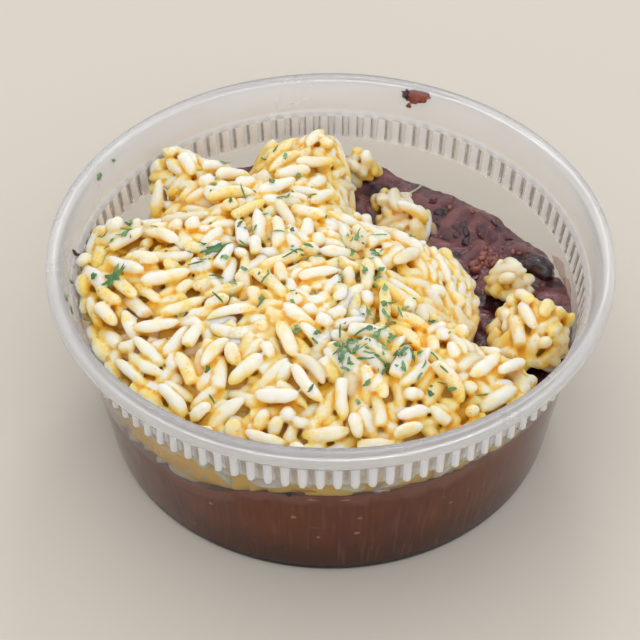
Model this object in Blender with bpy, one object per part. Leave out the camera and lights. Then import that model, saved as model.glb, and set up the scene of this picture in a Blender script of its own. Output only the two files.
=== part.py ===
"""Rice and beans in a round deli tub, in metres, +Z up, origin at the centre of the tub's base.

The tub is one turned shell with a skirted rim, a stacking ledge and a ring of ribs under it.
Bean mash fills the tub up to an uneven level. A rice heap covers most of the mash, and a few
loose rice clumps and a whole bean lie on the part of the mash that is left bare.
Directions are in degrees from +X, seen from above.
"""

import math
from dataclasses import dataclass

import bmesh
import bpy
from mathutils import Vector, noise

MM = 0.001

# Tub
RIM_HEIGHT = 46.5 * MM
RIM_OUTER_RADIUS = 58.0 * MM
RIM_INNER_RADIUS = 55.6 * MM
SKIRT_RADIUS = 58.5 * MM
SKIRT_DROP = 3.0 * MM
WALL = 0.8 * MM
BASE_RADIUS = 47.8 * MM
BASE_CHAMFER = 0.8 * MM
FOOT_WIDTH = 2.6 * MM
FOOT_HEIGHT = 0.8 * MM
LEDGE_HEIGHT = 38.2 * MM
LEDGE_RADIUS = 53.4 * MM
LEDGE_STEP = 1.2 * MM
LEDGE_RISE = 0.6 * MM
RIB_COUNT = 100
RIB_BOTTOM = 32.4 * MM
RIB_MARGIN = 0.8 * MM
RIB_OUTER_RADIUS = 54.0 * MM
RIB_TOP_MARGIN = 0.15 * MM
FLOOR_TOP = FOOT_HEIGHT + WALL

# Gap kept between two pieces that touch
CONTACT_GAP = 0.35 * MM

# Bean mash
MASH_MIDDLE = 22.5 * MM
MASH_LOWEST_EDGE = 20.3 * MM
MASH_FLAT_RADIUS = 18.0 * MM
MASH_RELIEF = 1.5 * MM
MASH_RELIEF_SIZE = 5.0 * MM
MASH_SEED = 4.0
MASH_SPOKES = 80
MASH_RINGS = 11
# Bare mash takes its full relief this far from rice, and this far in from the wall
BARE_START = 1.0 * MM
BARE_FULL = 5.0 * MM
WALL_FADE = 3.0 * MM

# Rice heap
HEAP_CROWN = 45.0 * MM
HEAP_WALL_LEVEL = 39.2 * MM
HEAP_LEAST_DEPTH = 3.0 * MM
HEAP_SHOULDER = 24.0 * MM
HEAP_RELIEF = 1.4 * MM
HEAP_RELIEF_SIZE = 7.0 * MM
HEAP_SEED = 7.0
HEAP_BULGE = 1.2 * MM
HEAP_SPOKES = 72
HEAP_EDGE_POINTS = 180
HEAP_SIDE_MARGIN = math.radians(6)
HEAP_TOP_RINGS = 8
HEAP_BOTTOM_RINGS = 6
RIM_CLEARANCE = 0.6 * MM

# Loose rice clumps
CLUMP_SPOKES = 18
CLUMP_TOP_RINGS = 4
CLUMP_BOTTOM_RINGS = 2
CLUMP_FOOT = 0.92
CLUMP_SHOULDER = 0.94
CLUMP_DOME = 0.8
CLUMP_WAIST = 0.2
CLUMP_RELIEF = 1.2 * MM
CLUMP_RELIEF_SIZE = 3.0 * MM
CLUMP_WIDE_LOBES = 0.09
CLUMP_NARROW_LOBES = 0.05
SHIFT_STEP = 0.1 * MM


@dataclass(frozen=True)
class Finish:
    """A colour, a roughness and an opacity."""

    colour: tuple
    roughness: float
    opacity: float = 1.0


CLEAR_PLASTIC = Finish((0.86, 0.87, 0.88), 0.2, 0.35)
MASH = Finish((0.10, 0.035, 0.03), 0.35)
RICE = Finish((0.88, 0.77, 0.52), 0.5)
BEAN = Finish((0.035, 0.015, 0.02), 0.25)


def smooth_step(low, high, value):
    """0 below low, 1 above high, and a smooth rise between them."""
    t = min(1.0, max(0.0, (value - low) / (high - low)))
    return t * t * (3 - 2 * t)


def direction_of(x, y):
    """Direction of a point from the tub's axis."""
    return math.degrees(math.atan2(y, x))


def on_circle(radius, angle):
    """A point at a radius from the tub's axis, at an angle in radians."""
    return radius * math.cos(angle), radius * math.sin(angle)


@dataclass(frozen=True)
class Stretch:
    """A stretch of an edge from one direction to another, with soft ends."""

    start: float
    end: float
    soft: float
    rise: float = 0.0
    inset: float = 0.0

    def share(self, degrees):
        """1 on the stretch and 0 off it."""
        begun = smooth_step(self.start - self.soft, self.start + self.soft, degrees)
        ended = smooth_step(self.end - self.soft, self.end + self.soft, degrees)
        return begun - ended


@dataclass(frozen=True)
class Swell:
    """A round rise, or with a negative height a hollow, in a surface."""

    x: float
    y: float
    reach: float
    height: float

    def at(self, x, y):
        """Height that this swell adds at a point."""
        away = ((x - self.x) ** 2 + (y - self.y) ** 2) / self.reach**2
        return self.height * math.exp(-away)


# Where the mash stands higher on the wall
MASH_BANKS = (
    Stretch(-112, 24, 12, rise=7.7 * MM),
    Stretch(24, 150, 10, rise=3.0 * MM),
    Stretch(76, 132, 6, rise=4.7 * MM),
)
MASH_LUMPS = (
    Swell(32.5 * MM, 31.5 * MM, 4.5 * MM, 2.6 * MM),
    Swell(42.5 * MM, 22.0 * MM, 4.2 * MM, 2.4 * MM),
    Swell(35.0 * MM, 18.5 * MM, 2.6 * MM, 1.8 * MM),
    Swell(20.0 * MM, 41.5 * MM, 5.0 * MM, 1.4 * MM),
    Swell(33.0 * MM, 2.0 * MM, 4.0 * MM, -1.6 * MM),
)

# Where the heap's edge lies further in and lower than at the wall
HEAP_BAYS = (
    Stretch(-33, 85, 4, rise=-6.7 * MM, inset=21.5 * MM),
    Stretch(85, 113, 4, rise=-2.5 * MM, inset=5.5 * MM),
    Stretch(113, 126, 4, rise=-7.0 * MM, inset=8.5 * MM),
    Stretch(144, 160, 5, rise=-7.0 * MM, inset=7.0 * MM),
)
HEAP_SWELLS = (
    Swell(-34 * MM, 32 * MM, 7.5 * MM, 3.0 * MM),
    Swell(-2 * MM, 42 * MM, 4.5 * MM, 4.2 * MM),
    Swell(-22 * MM, 37 * MM, 6 * MM, -3.0 * MM),
    Swell(14 * MM, 22 * MM, 11 * MM, -9.0 * MM),
    Swell(-42 * MM, 4 * MM, 4 * MM, -3.5 * MM),
    Swell(-15 * MM, -39 * MM, 4 * MM, -2.5 * MM),
    Swell(-8 * MM, -8 * MM, 20 * MM, 1.0 * MM),
)


def inner_wall_radius(z):
    """Radius of the tub's inner wall below the ledge, at a height."""
    slope = (LEDGE_RADIUS - BASE_RADIUS) / LEDGE_HEIGHT
    return BASE_RADIUS + slope * z - WALL


def widest_radius(z):
    """Radius up to which food may reach at a height."""
    return inner_wall_radius(min(z, LEDGE_HEIGHT)) - CONTACT_GAP


def mash_level(x, y):
    """Height of the mash without its lumps: what the rice rests on."""
    degrees = direction_of(x, y)
    edge = MASH_LOWEST_EDGE + sum(bank.rise * bank.share(degrees) for bank in MASH_BANKS)
    outward = smooth_step(MASH_FLAT_RADIUS, LEDGE_RADIUS, math.hypot(x, y))
    return MASH_MIDDLE + (edge - MASH_MIDDLE) * outward


def relief(x, y, size, height, seed):
    """Uneven relief with lumps about as wide as size."""
    return height * noise.noise(Vector((x / size, y / size, seed)))


def heap_edge(x, y):
    """Radius and height of the rice heap's top edge in the direction of a point."""
    degrees = direction_of(x, y)
    level = HEAP_WALL_LEVEL + sum(bay.rise * bay.share(degrees) for bay in HEAP_BAYS)
    inset = sum(bay.inset * bay.share(degrees) for bay in HEAP_BAYS)
    return widest_radius(level) - inset, level


def heap_outline():
    """Points all along the rice heap's top edge, seen from above."""
    turns = [2 * math.pi * point / HEAP_EDGE_POINTS for point in range(HEAP_EDGE_POINTS)]
    return [on_circle(heap_edge(*on_circle(1, turn))[0], turn) for turn in turns]


HEAP_OUTLINE = heap_outline()


def heap_top(x, y):
    """Height of the rice heap at a point inside its edge: lower the nearer its edge is."""
    level = heap_edge(x, y)[1]
    inside = min(math.dist((x, y), point) for point in HEAP_OUTLINE)
    fall = 1 - min(1.0, inside / HEAP_SHOULDER)
    crown = HEAP_CROWN - (HEAP_CROWN - level) * fall**2
    swells = sum(swell.at(x, y) for swell in HEAP_SWELLS)
    lumps = relief(x, y, HEAP_RELIEF_SIZE, HEAP_RELIEF, HEAP_SEED)
    lowest = mash_level(x, y) + HEAP_LEAST_DEPTH
    return min(RIM_HEIGHT - RIM_CLEARANCE, max(lowest, crown + swells + lumps))


@dataclass(frozen=True)
class Clump:
    """A loose clump of rice, oval in plan, that lies on the mash."""

    name: str
    x: float
    y: float
    half_length: float
    half_width: float
    turn: float
    height: float
    seed: float

    def edge(self, angle):
        """Radius of the clump's outline at an angle in radians from +X."""
        local = angle - math.radians(self.turn)
        oval = math.hypot(self.half_width * math.cos(local), self.half_length * math.sin(local))
        wide_lobes = CLUMP_WIDE_LOBES * math.sin(3 * local + self.seed)
        narrow_lobes = CLUMP_NARROW_LOBES * math.sin(5 * local)
        return self.half_length * self.half_width / oval * (1 + wide_lobes + narrow_lobes)

    def clearance(self, x, y):
        """How far a point lies outside the clump's outline."""
        away = Vector((x - self.x, y - self.y))
        return away.length - self.edge(math.atan2(away.y, away.x))


CLUMPS = (
    Clump("rice_clump_right", 41.8 * MM, -9.6 * MM, 10.6 * MM, 9.3 * MM, 100, 11.0 * MM, 1.0),
    Clump("rice_clump_middle", 38.0 * MM, 9.2 * MM, 5.9 * MM, 4.4 * MM, 110, 6.5 * MM, 2.0),
    Clump("rice_clump_lobe", 16.0 * MM, 33.4 * MM, 9.2 * MM, 5.0 * MM, 125, 7.0 * MM, 3.0),
    Clump("rice_clump_tip", 7.2 * MM, 44.4 * MM, 4.3 * MM, 3.2 * MM, 25, 8.5 * MM, 4.0),
)


@dataclass(frozen=True)
class WholeBean:
    """A whole bean that lies partly sunk in the mash."""

    name: str
    x: float
    y: float
    turn: float
    tilt: float
    half_length: float
    half_width: float
    half_depth: float
    sunk: float


BEANS = (
    WholeBean("whole_bean", 44.8 * MM, 13.5 * MM, -31, 8, 3.9 * MM, 3.0 * MM, 2.7 * MM, 2.2 * MM),
)
BEAN_BEND = 0.16
BEAN_BLUNTNESS = 0.10


def heap_clearance(x, y):
    """How far a point lies outside the heap's edge, also a little to each side of it."""
    radius = math.hypot(x, y)
    angle = math.atan2(y, x)
    nearby = (angle - HEAP_SIDE_MARGIN, angle, angle + HEAP_SIDE_MARGIN)
    return radius - max(heap_edge(*on_circle(radius, turned))[0] for turned in nearby)


def bare_share(x, y):
    """1 on bare mash, falling to 0 near and under the rice and at the wall."""
    off_rice = min(clump.clearance(x, y) for clump in CLUMPS)
    off_rice = min(off_rice, heap_clearance(x, y))
    off_wall = inner_wall_radius(MASH_MIDDLE) - math.hypot(x, y)
    off_wall_share = smooth_step(-WALL_FADE, WALL_FADE, off_wall)
    return smooth_step(BARE_START, BARE_FULL, off_rice) * off_wall_share


def mash_top(x, y):
    """Height of the mash, with its lumps where it is bare."""
    lumps = sum(lump.at(x, y) for lump in MASH_LUMPS)
    lumps += relief(x, y, MASH_RELIEF_SIZE, MASH_RELIEF, MASH_SEED)
    return mash_level(x, y) + bare_share(x, y) * lumps


def link(name, mesh, finish, parent):
    """An object of a mesh, in the scene, with its own material."""
    material = bpy.data.materials.new(name)
    material.use_nodes = True
    shader = material.node_tree.nodes["Principled BSDF"]
    shader.inputs["Base Color"].default_value = (*finish.colour, 1.0)
    shader.inputs["Roughness"].default_value = finish.roughness
    shader.inputs["Metallic"].default_value = 0.0
    shader.inputs["Alpha"].default_value = finish.opacity
    mesh.materials.append(material)
    mesh.shade_smooth()
    mesh.set_sharp_from_angle(angle=math.radians(40))
    obj = bpy.data.objects.new(name, mesh)
    obj.parent = parent
    bpy.context.scene.collection.objects.link(obj)
    return obj


def finished_mesh(name, shape):
    """A mesh of a bmesh, with its faces pointing out."""
    shape.normal_update()
    bmesh.ops.recalc_face_normals(shape, faces=shape.faces)
    mesh = bpy.data.meshes.new(name)
    shape.to_mesh(mesh)
    shape.free()
    return mesh


def tub_section():
    """The tub's section as (radius, height) points, up its outside and down its inside."""
    foot_inner = BASE_RADIUS - BASE_CHAMFER - FOOT_WIDTH
    ledge_outer = LEDGE_RADIUS + LEDGE_STEP
    ledge_top = LEDGE_HEIGHT + LEDGE_RISE
    rim_underside = RIM_HEIGHT - 2 * WALL
    skirt_bottom = RIM_HEIGHT - SKIRT_DROP
    return [
        (0, FOOT_HEIGHT),
        (foot_inner - FOOT_HEIGHT, FOOT_HEIGHT),
        (foot_inner, 0),
        (BASE_RADIUS - BASE_CHAMFER, 0),
        (BASE_RADIUS, BASE_CHAMFER),
        (inner_wall_radius(RIB_BOTTOM) + WALL, RIB_BOTTOM),
        (LEDGE_RADIUS, LEDGE_HEIGHT),
        (ledge_outer, ledge_top),
        (RIM_INNER_RADIUS + WALL, rim_underside),
        (SKIRT_RADIUS - WALL, rim_underside),
        (SKIRT_RADIUS - WALL, skirt_bottom),
        (SKIRT_RADIUS, skirt_bottom),
        (RIM_OUTER_RADIUS, RIM_HEIGHT),
        (RIM_INNER_RADIUS, RIM_HEIGHT),
        (ledge_outer - WALL, ledge_top + WALL / 2),
        (inner_wall_radius(LEDGE_HEIGHT), LEDGE_HEIGHT + WALL / 2),
        (BASE_RADIUS - WALL, FLOOR_TOP + WALL / 2),
        (BASE_RADIUS - 2 * WALL, FLOOR_TOP),
        (0, FLOOR_TOP),
    ]


def raise_ribs(shape):
    """Stands a rib out of each facet of the band under the ledge, its bottom corners cut in."""
    middle = (RIB_BOTTOM + LEDGE_HEIGHT) / 2
    band_radius = inner_wall_radius(middle) + WALL / 2
    band = []
    for face in shape.faces:
        centre = face.calc_center_median()
        if abs(centre.z - middle) < WALL and centre.xy.length > band_radius:
            band.append(face)
    bmesh.ops.inset_individual(shape, faces=band, thickness=RIB_MARGIN, depth=0)
    for corner in {corner for face in band for corner in face.verts}:
        outward = corner.co.xy.normalized() * RIB_OUTER_RADIUS
        height = corner.co.z
        if height > middle:
            height = LEDGE_HEIGHT - RIB_TOP_MARGIN
        corner.co = (outward.x, outward.y, height)


def build_tub(parent):
    """The tub: its section turned about +Z, with its ring of ribs."""
    shape = bmesh.new()
    points = [shape.verts.new((radius, 0, z)) for radius, z in tub_section()]
    section = [shape.edges.new(pair) for pair in zip(points, points[1:])]
    bmesh.ops.spin(
        shape,
        geom=points + section,
        cent=(0, 0, 0),
        axis=(0, 0, 1),
        angle=2 * math.pi,
        steps=RIB_COUNT,
        use_merge=True,
    )
    bmesh.ops.remove_doubles(shape, verts=shape.verts, dist=0.01 * MM)
    bmesh.ops.recalc_face_normals(shape, faces=shape.faces)
    raise_ribs(shape)
    return link("tub", finished_mesh("tub", shape), CLEAR_PLASTIC, parent)


def add_ring(shape, spokes, place):
    """A ring of points about +Z: place(angle) gives each one's radius and height."""
    ring = []
    for spoke in range(spokes):
        angle = 2 * math.pi * spoke / spokes
        radius, z = place(angle)
        x, y = on_circle(radius, angle)
        ring.append(shape.verts.new((x, y, z)))
    return ring


def join_rings(shape, rings):
    """Bands of quads from each ring to the next."""
    for lower, upper in zip(rings, rings[1:]):
        for spoke in range(len(lower)):
            after = (spoke + 1) % len(lower)
            shape.faces.new((lower[spoke], lower[after], upper[after], upper[spoke]))


def close_with_point(shape, ring, point):
    """A fan of triangles from a ring to one point."""
    middle = shape.verts.new(point)
    for spoke in range(len(ring)):
        shape.faces.new((ring[spoke], ring[(spoke + 1) % len(ring)], middle))


def mound(name, spokes, underside, side, crown):
    """A closed mound about +Z.

    underside and crown each hold a function and a number of rings: the function takes an
    angle and a share of the way out to the edge, and gives the radius and the height there.
    side takes an angle, and gives the radius and the height of the edge between the two.
    """
    bottom, bottom_rings = underside
    top, top_rings = crown
    shape = bmesh.new()
    rings = []
    for count in range(1, bottom_rings + 1):
        share = count / bottom_rings
        rings.append(add_ring(shape, spokes, lambda angle: bottom(angle, share)))
    rings.append(add_ring(shape, spokes, side))
    for count in range(top_rings, 0, -1):
        share = count / top_rings
        rings.append(add_ring(shape, spokes, lambda angle: top(angle, share)))
    join_rings(shape, rings)
    close_with_point(shape, rings[0], (0, 0, bottom(0, 0)[1]))
    close_with_point(shape, rings[-1], (0, 0, top(0, 0)[1]))
    return finished_mesh(name, shape)


def build_mash(parent):
    """The bean mash: it fills the tub from its floor up to an uneven top."""
    floor = FLOOR_TOP + CONTACT_GAP
    heel = floor + 2 * WALL

    def bottom(_angle, share):
        """The flat bottom, clear of the floor's corner."""
        return share * (BASE_RADIUS - 3 * WALL), floor

    def side(_angle):
        """The foot of the side."""
        return widest_radius(heel), heel

    def top(angle, share):
        """The uneven top."""
        level = mash_top(*on_circle(LEDGE_RADIUS, angle))
        radius = share * widest_radius(level)
        if share < 1:
            level = mash_top(*on_circle(radius, angle))
        return radius, level

    mesh = mound("bean_mash", MASH_SPOKES, (bottom, 1), side, (top, MASH_RINGS))
    return link("bean_mash", mesh, MASH, parent)


def build_heap(parent):
    """The rice heap: on the mash, out to the tub's wall or to its own free edge."""

    def bottom(angle, share):
        """The underside, which follows the mash."""
        edge = heap_edge(*on_circle(1, angle))[0]
        foot = mash_level(*on_circle(edge, angle))
        radius = share * min(edge, widest_radius(foot))
        return radius, mash_level(*on_circle(radius, angle)) + CONTACT_GAP

    def top(angle, share):
        """The uneven crown."""
        radius = share * heap_edge(*on_circle(1, angle))[0]
        return radius, heap_top(*on_circle(radius, angle))

    def side(angle):
        """Half way up the edge, which bulges a little where it is free."""
        low_radius, low = bottom(angle, 1)
        high_radius, high = top(angle, 1)
        middle = (low + high) / 2
        bulging = (low_radius + high_radius) / 2 + HEAP_BULGE
        return min(bulging, widest_radius(middle)), middle

    mesh = mound(
        "rice_heap",
        HEAP_SPOKES,
        (bottom, HEAP_BOTTOM_RINGS),
        side,
        (top, HEAP_TOP_RINGS),
    )
    return link("rice_heap", mesh, RICE, parent)


def build_clump(clump, parent):
    """A loose clump of rice with an uneven dome, placed on the mash."""
    base = mash_level(clump.x, clump.y) + CONTACT_GAP

    def point_at(radius, angle):
        """Where a point of the clump is, in the tub."""
        x, y = on_circle(radius, angle)
        return clump.x + x, clump.y + y

    def reach(angle, z):
        """Radius of the outline, held back where the tub's wall is nearer."""
        radius = clump.edge(angle)
        while math.hypot(*point_at(radius, angle)) > widest_radius(z):
            radius -= SHIFT_STEP
        return radius

    def bottom(angle, share):
        """The underside, which follows the mash."""
        radius = share * CLUMP_FOOT * reach(angle, base)
        return radius, mash_level(*point_at(radius, angle)) + CONTACT_GAP - base

    def top(angle, share):
        """The dome."""
        radius = share * CLUMP_SHOULDER * reach(angle, base + clump.height / 2)
        place = point_at(radius, angle)
        dome = clump.height * math.sqrt(1 - CLUMP_DOME * share**2)
        lumps = relief(*place, CLUMP_RELIEF_SIZE, CLUMP_RELIEF, clump.seed)
        return radius, mash_level(*place) - base + dome + lumps

    def side(angle):
        """The widest part, a little above the mash."""
        height = clump.height * CLUMP_WAIST
        radius = reach(angle, base + height)
        return radius, mash_level(*point_at(radius, angle)) - base + height

    mesh = mound(
        clump.name,
        CLUMP_SPOKES,
        (bottom, CLUMP_BOTTOM_RINGS),
        side,
        (top, CLUMP_TOP_RINGS),
    )
    obj = link(clump.name, mesh, RICE, parent)
    obj.location = (clump.x, clump.y, base)
    return obj


def bean_mesh(name, bean, growth):
    """A kidney-shaped bean about its own centre, larger all round by growth."""
    shape = bmesh.new()
    bmesh.ops.create_uvsphere(shape, u_segments=16, v_segments=9, radius=1.0)
    for point in shape.verts:
        along = point.co.x**2
        point.co.x *= bean.half_length + growth
        point.co.y *= (bean.half_width + growth) * (1 + BEAN_BLUNTNESS * along)
        point.co.y += BEAN_BEND * bean.half_width * along
        point.co.z *= bean.half_depth + growth
    return finished_mesh(name, shape)


def build_bean(bean, mash, parent):
    """A whole bean, and the hollow in the mash that it lies in."""
    height = mash_top(bean.x, bean.y) + bean.half_depth - bean.sunk
    hollow_name = bean.name + "_hollow"
    hollow = link(hollow_name, bean_mesh(hollow_name, bean, CONTACT_GAP), BEAN, parent)
    hollow.hide_render = True
    hollow.display_type = "WIRE"
    whole = link(bean.name, bean_mesh(bean.name, bean, 0), BEAN, parent)
    for obj in (hollow, whole):
        obj.location = (bean.x, bean.y, height)
        obj.rotation_euler = (0, math.radians(bean.tilt), math.radians(bean.turn))
    cut = mash.modifiers.new(hollow_name, "BOOLEAN")
    cut.operation = "DIFFERENCE"
    cut.object = hollow
    return whole


def main():
    """Clears the scene and builds the tub and the food in it."""
    for obj in list(bpy.data.objects):
        bpy.data.objects.remove(obj)
    serving = bpy.data.objects.new("serving", None)
    bpy.context.scene.collection.objects.link(serving)
    build_tub(serving)
    mash = build_mash(serving)
    build_heap(serving)
    for clump in CLUMPS:
        build_clump(clump, serving)
    for bean in BEANS:
        build_bean(bean, mash, serving)


main()
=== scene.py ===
"""Looks of a clear deli tub that holds mashed dark beans under a heap of seasoned rice.

Lengths are in metres. The tub stands on z = 0 with its axis along +Z. Directions are in
degrees from +X, seen from above: the camera looks from the -Y side, and the beans lie bare
towards +X. Marks are numbers kept at each point of a mesh, which its material reads.
"""

import logging
import math
from dataclasses import dataclass, field, fields
from enum import Enum
from functools import cache

import bmesh
import bpy
import numpy as np
from mathutils import Matrix, Vector, noise
from mathutils.bvhtree import BVHTree
from mathutils.kdtree import KDTree


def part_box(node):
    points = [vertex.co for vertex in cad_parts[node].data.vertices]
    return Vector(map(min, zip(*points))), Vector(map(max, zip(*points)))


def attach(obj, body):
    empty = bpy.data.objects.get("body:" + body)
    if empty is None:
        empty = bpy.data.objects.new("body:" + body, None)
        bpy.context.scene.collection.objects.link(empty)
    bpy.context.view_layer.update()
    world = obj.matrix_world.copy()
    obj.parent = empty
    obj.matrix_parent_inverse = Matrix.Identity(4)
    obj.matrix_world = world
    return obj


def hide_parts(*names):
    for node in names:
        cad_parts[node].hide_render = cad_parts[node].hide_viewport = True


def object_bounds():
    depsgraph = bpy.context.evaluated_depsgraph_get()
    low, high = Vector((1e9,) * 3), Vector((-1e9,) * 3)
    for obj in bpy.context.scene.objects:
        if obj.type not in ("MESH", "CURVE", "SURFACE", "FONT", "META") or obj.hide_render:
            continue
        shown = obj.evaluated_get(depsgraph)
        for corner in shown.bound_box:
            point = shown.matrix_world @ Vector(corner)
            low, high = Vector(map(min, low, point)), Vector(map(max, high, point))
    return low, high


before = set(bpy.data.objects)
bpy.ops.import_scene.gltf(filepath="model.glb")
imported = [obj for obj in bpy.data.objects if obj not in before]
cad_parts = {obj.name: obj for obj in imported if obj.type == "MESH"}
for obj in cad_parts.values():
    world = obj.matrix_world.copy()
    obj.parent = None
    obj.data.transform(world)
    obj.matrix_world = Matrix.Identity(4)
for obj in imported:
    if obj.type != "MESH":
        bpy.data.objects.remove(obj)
CAD_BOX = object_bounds()

LOG = logging.getLogger("tub_of_rice_and_beans")
MM = 0.001
DOWN = Vector((0, 0, -1))
SKY = 0.1  # the height that rays are cast down from
MASH_LEVEL = 26 * MM  # where the mash meets the wall
PRESSED_IN = -0.35  # the shift of a smudge that reaches into the wall, in millimetres
FLIPPED = [1, 0, 2]  # the corners of a triangle that faces the other way
ANY_TURN = 6.3  # the greatest turn that is drawn, once round in radians

Array = np.ndarray
Random = np.random.Generator
Piece, Mesh, Material = bpy.types.Object, bpy.types.Mesh, bpy.types.Material
Node, NodeTree, Socket = bpy.types.Node, bpy.types.NodeTree, bpy.types.NodeSocket
Colour = Spot = tuple[float, float, float]
Span = tuple[float, float]


def smooth_step(low: float, high: float, value: Array) -> Array:
    """Rises smoothly from 0 at low to 1 at high, which may be lower than low."""
    share = np.clip((np.asarray(value, float) - low) / (high - low), 0.0, 1.0)
    return share * share * (3.0 - 2.0 * share)


def lumps(points: Array, size: float, seed: float) -> Array:
    """Smooth noise of one size, about -1 to 1.

    Args:
        points: an array of points, (n, 3).
        size: about how wide one lump is.
        seed: shifts the noise.

    Returns:
        One number for each point.
    """
    shift = np.array((seed * 3.7, seed * 1.3, seed * 2.9))
    scaled = np.asarray(points, float) / size + shift
    return np.array([noise.noise(point) for point in scaled.tolist()])


def folds(points: Array, size: float, seed: float) -> Array:
    """Noise with sharp crests about a size apart, where it is 1, as soft paste folds."""
    return 1.0 - 2.0 * np.abs(lumps(points, size, seed))


def blurred(field_2d: Array, reach: int, passes: int = 2) -> Array:
    """Blurs a height field with a square window.

    Args:
        field_2d: the heights.
        reach: cells to each side that count.
        passes: how often it is done.

    Returns:
        The blurred heights.
    """
    result = field_2d.copy()
    for _ in range(passes):
        for axis in (0, 1):
            total = sum(np.roll(result, shift, axis) for shift in range(-reach, reach + 1))
            result = total / (2 * reach + 1)
    return result


def widened(field_2d: Array, reach: int) -> Array:
    """The highest value in a square window round each cell.

    Args:
        field_2d: the heights.
        reach: cells to each side that count.

    Returns:
        The heights of the local crests.
    """
    result = field_2d.copy()
    for axis in (0, 1):
        shifted = [np.roll(result, shift, axis) for shift in range(-reach, reach + 1)]
        result = np.max(shifted, axis=0)
    return result


def read_points(mesh: Mesh) -> Array:
    """Reads the points of a mesh.

    Args:
        mesh: the mesh.

    Returns:
        Its points, (n, 3).
    """
    places = np.empty(len(mesh.vertices) * 3, np.float32)
    mesh.vertices.foreach_get("co", places)
    return places.reshape(-1, 3)


def link(name: str, data: bpy.types.ID) -> Piece:
    """Makes an object of some data and links it into the scene.

    Args:
        name: the object's name.
        data: its mesh, light or camera.

    Returns:
        The object.
    """
    made = bpy.data.objects.new(name, data)
    bpy.context.scene.collection.objects.link(made)
    return made


def add_marks(mesh: Mesh, marks: dict[str, Array]) -> None:
    """Gives a mesh marks that its material reads.

    Args:
        mesh: the mesh.
        marks: a number for each point, by name.
    """
    for name, values in marks.items():
        attribute = mesh.attributes.new(name, "FLOAT", "POINT")
        attribute.data.foreach_set("value", np.ascontiguousarray(values, np.float32))


def new_piece(
    name: str,
    points: Array,
    faces: list[Array],
    material: Material,
    marks: dict[str, Array] | None = None,
) -> Piece:
    """Makes a smooth-shaded mesh object.

    Args:
        name: the piece's name.
        points: the points, (n, 3).
        faces: arrays of faces, each (m, 3) or (m, 4).
        material: the piece's material.
        marks: a number for each point, by name.

    Returns:
        The object, linked into the scene.
    """
    mesh = bpy.data.meshes.new(name)
    corners = np.concatenate([group.ravel() for group in faces]).astype(np.int32)
    counts = np.concatenate([np.full(len(group), group.shape[1]) for group in faces])
    starts = np.concatenate(([0], np.cumsum(counts)[:-1])).astype(np.int32)
    mesh.vertices.add(len(points))
    mesh.vertices.foreach_set("co", np.ascontiguousarray(points, np.float32).ravel())
    mesh.loops.add(len(corners))
    mesh.loops.foreach_set("vertex_index", corners)
    mesh.polygons.add(len(starts))
    mesh.polygons.foreach_set("loop_start", starts)
    mesh.update(calc_edges=True)
    mesh.validate()
    mesh.shade_smooth()
    add_marks(mesh, marks or {})
    mesh.materials.append(material)
    return link(name, mesh)


def paint(piece: Piece, numbers: Array, *materials: Material) -> None:
    """Gives some faces of a piece other materials than its first.

    Args:
        piece: the piece.
        numbers: the material's number for each of its first faces; the rest keep number 0.
        materials: the materials from number 1 on.
    """
    for material in materials:
        piece.data.materials.append(material)
    every = np.zeros(len(piece.data.polygons), np.int32)
    every[: len(numbers)] = numbers
    piece.data.polygons.foreach_set("material_index", every)


def fit_out(piece: Piece, slot: str, *nodes: str) -> None:
    """Lets a piece ride with the tub, and hides the solids that it replaces.

    Args:
        piece: the piece.
        slot: the material slot of its finish; not used.
        nodes: the solids that it replaces.
    """
    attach(piece, "root")
    if nodes:
        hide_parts(*nodes)
    LOG.info("%s: %d faces", piece.name, len(piece.data.polygons))


def creases(mesh: Mesh, passes: int) -> Array:
    """How deep in a crease each point of a mesh lies.

    Args:
        mesh: the mesh.
        passes: how often the result is evened out.

    Returns:
        One length for each point: above 0 in a crease, below 0 on a ridge.
    """
    count = len(mesh.vertices)
    start = read_points(mesh)
    places = start.astype(float)
    normals = np.empty(count * 3, np.float32)
    mesh.vertex_normals.foreach_get("vector", normals)
    edges = np.empty(len(mesh.edges) * 2, np.int32)
    mesh.edges.foreach_get("vertices", edges)
    first, second = edges.reshape(-1, 2).T
    number = np.maximum(np.bincount(first, None, count) + np.bincount(second, None, count), 1)

    def neighbours(values: Array) -> Array:
        """Mean of the values at the points next to each point."""
        total = np.bincount(first, values[second], count)
        return (total + np.bincount(second, values[first], count)) / number

    for _ in range(2):
        places = np.stack([neighbours(places[:, axis]) for axis in range(3)], -1)
    depth = ((places - start) * normals.reshape(-1, 3)).sum(1)
    for _ in range(passes):
        depth = 0.5 * depth + 0.5 * neighbours(depth)
    return depth


def even_turns(count: int) -> Array:
    """Angles in radians, evenly all the way round."""
    return np.arange(count) * 2 * math.pi / count


def round_axis(radius: Array, turn: Array, height: Array) -> Array:
    """Points at radii, angles in radians and heights about the tub's axis."""
    return np.stack((radius * np.cos(turn), radius * np.sin(turn), height), -1)


def end_caps(last: int, around: int, middle: int) -> Array:
    """Triangles that close the first and the last row of a body of rings.

    Args:
        last: the number of the last row's first point.
        around: points in a row.
        middle: the number of the first row's middle point, which the last row's follows.

    Returns:
        The triangles, (m, 3).
    """
    spots = np.arange(around)
    after = (spots + 1) % around
    middles = np.full(around, middle)
    one = np.stack((spots, after, middles), -1)
    return np.concatenate((one, np.stack((last + after, last + spots, middles + 1), -1)))


def ring_faces(rows: int, around: int) -> Array:
    """Quads between rows of points that each close on themselves.

    Args:
        rows: how many rows.
        around: points in a row.

    Returns:
        The quads, (m, 4).
    """
    row, spot = np.meshgrid(np.arange(rows - 1), np.arange(around), indexing="ij")
    after = (spot + 1) % around
    quad = (row * around + spot, row * around + after)
    return np.stack((*quad, quad[1] + around, quad[0] + around), -1).reshape(-1, 4)


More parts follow.
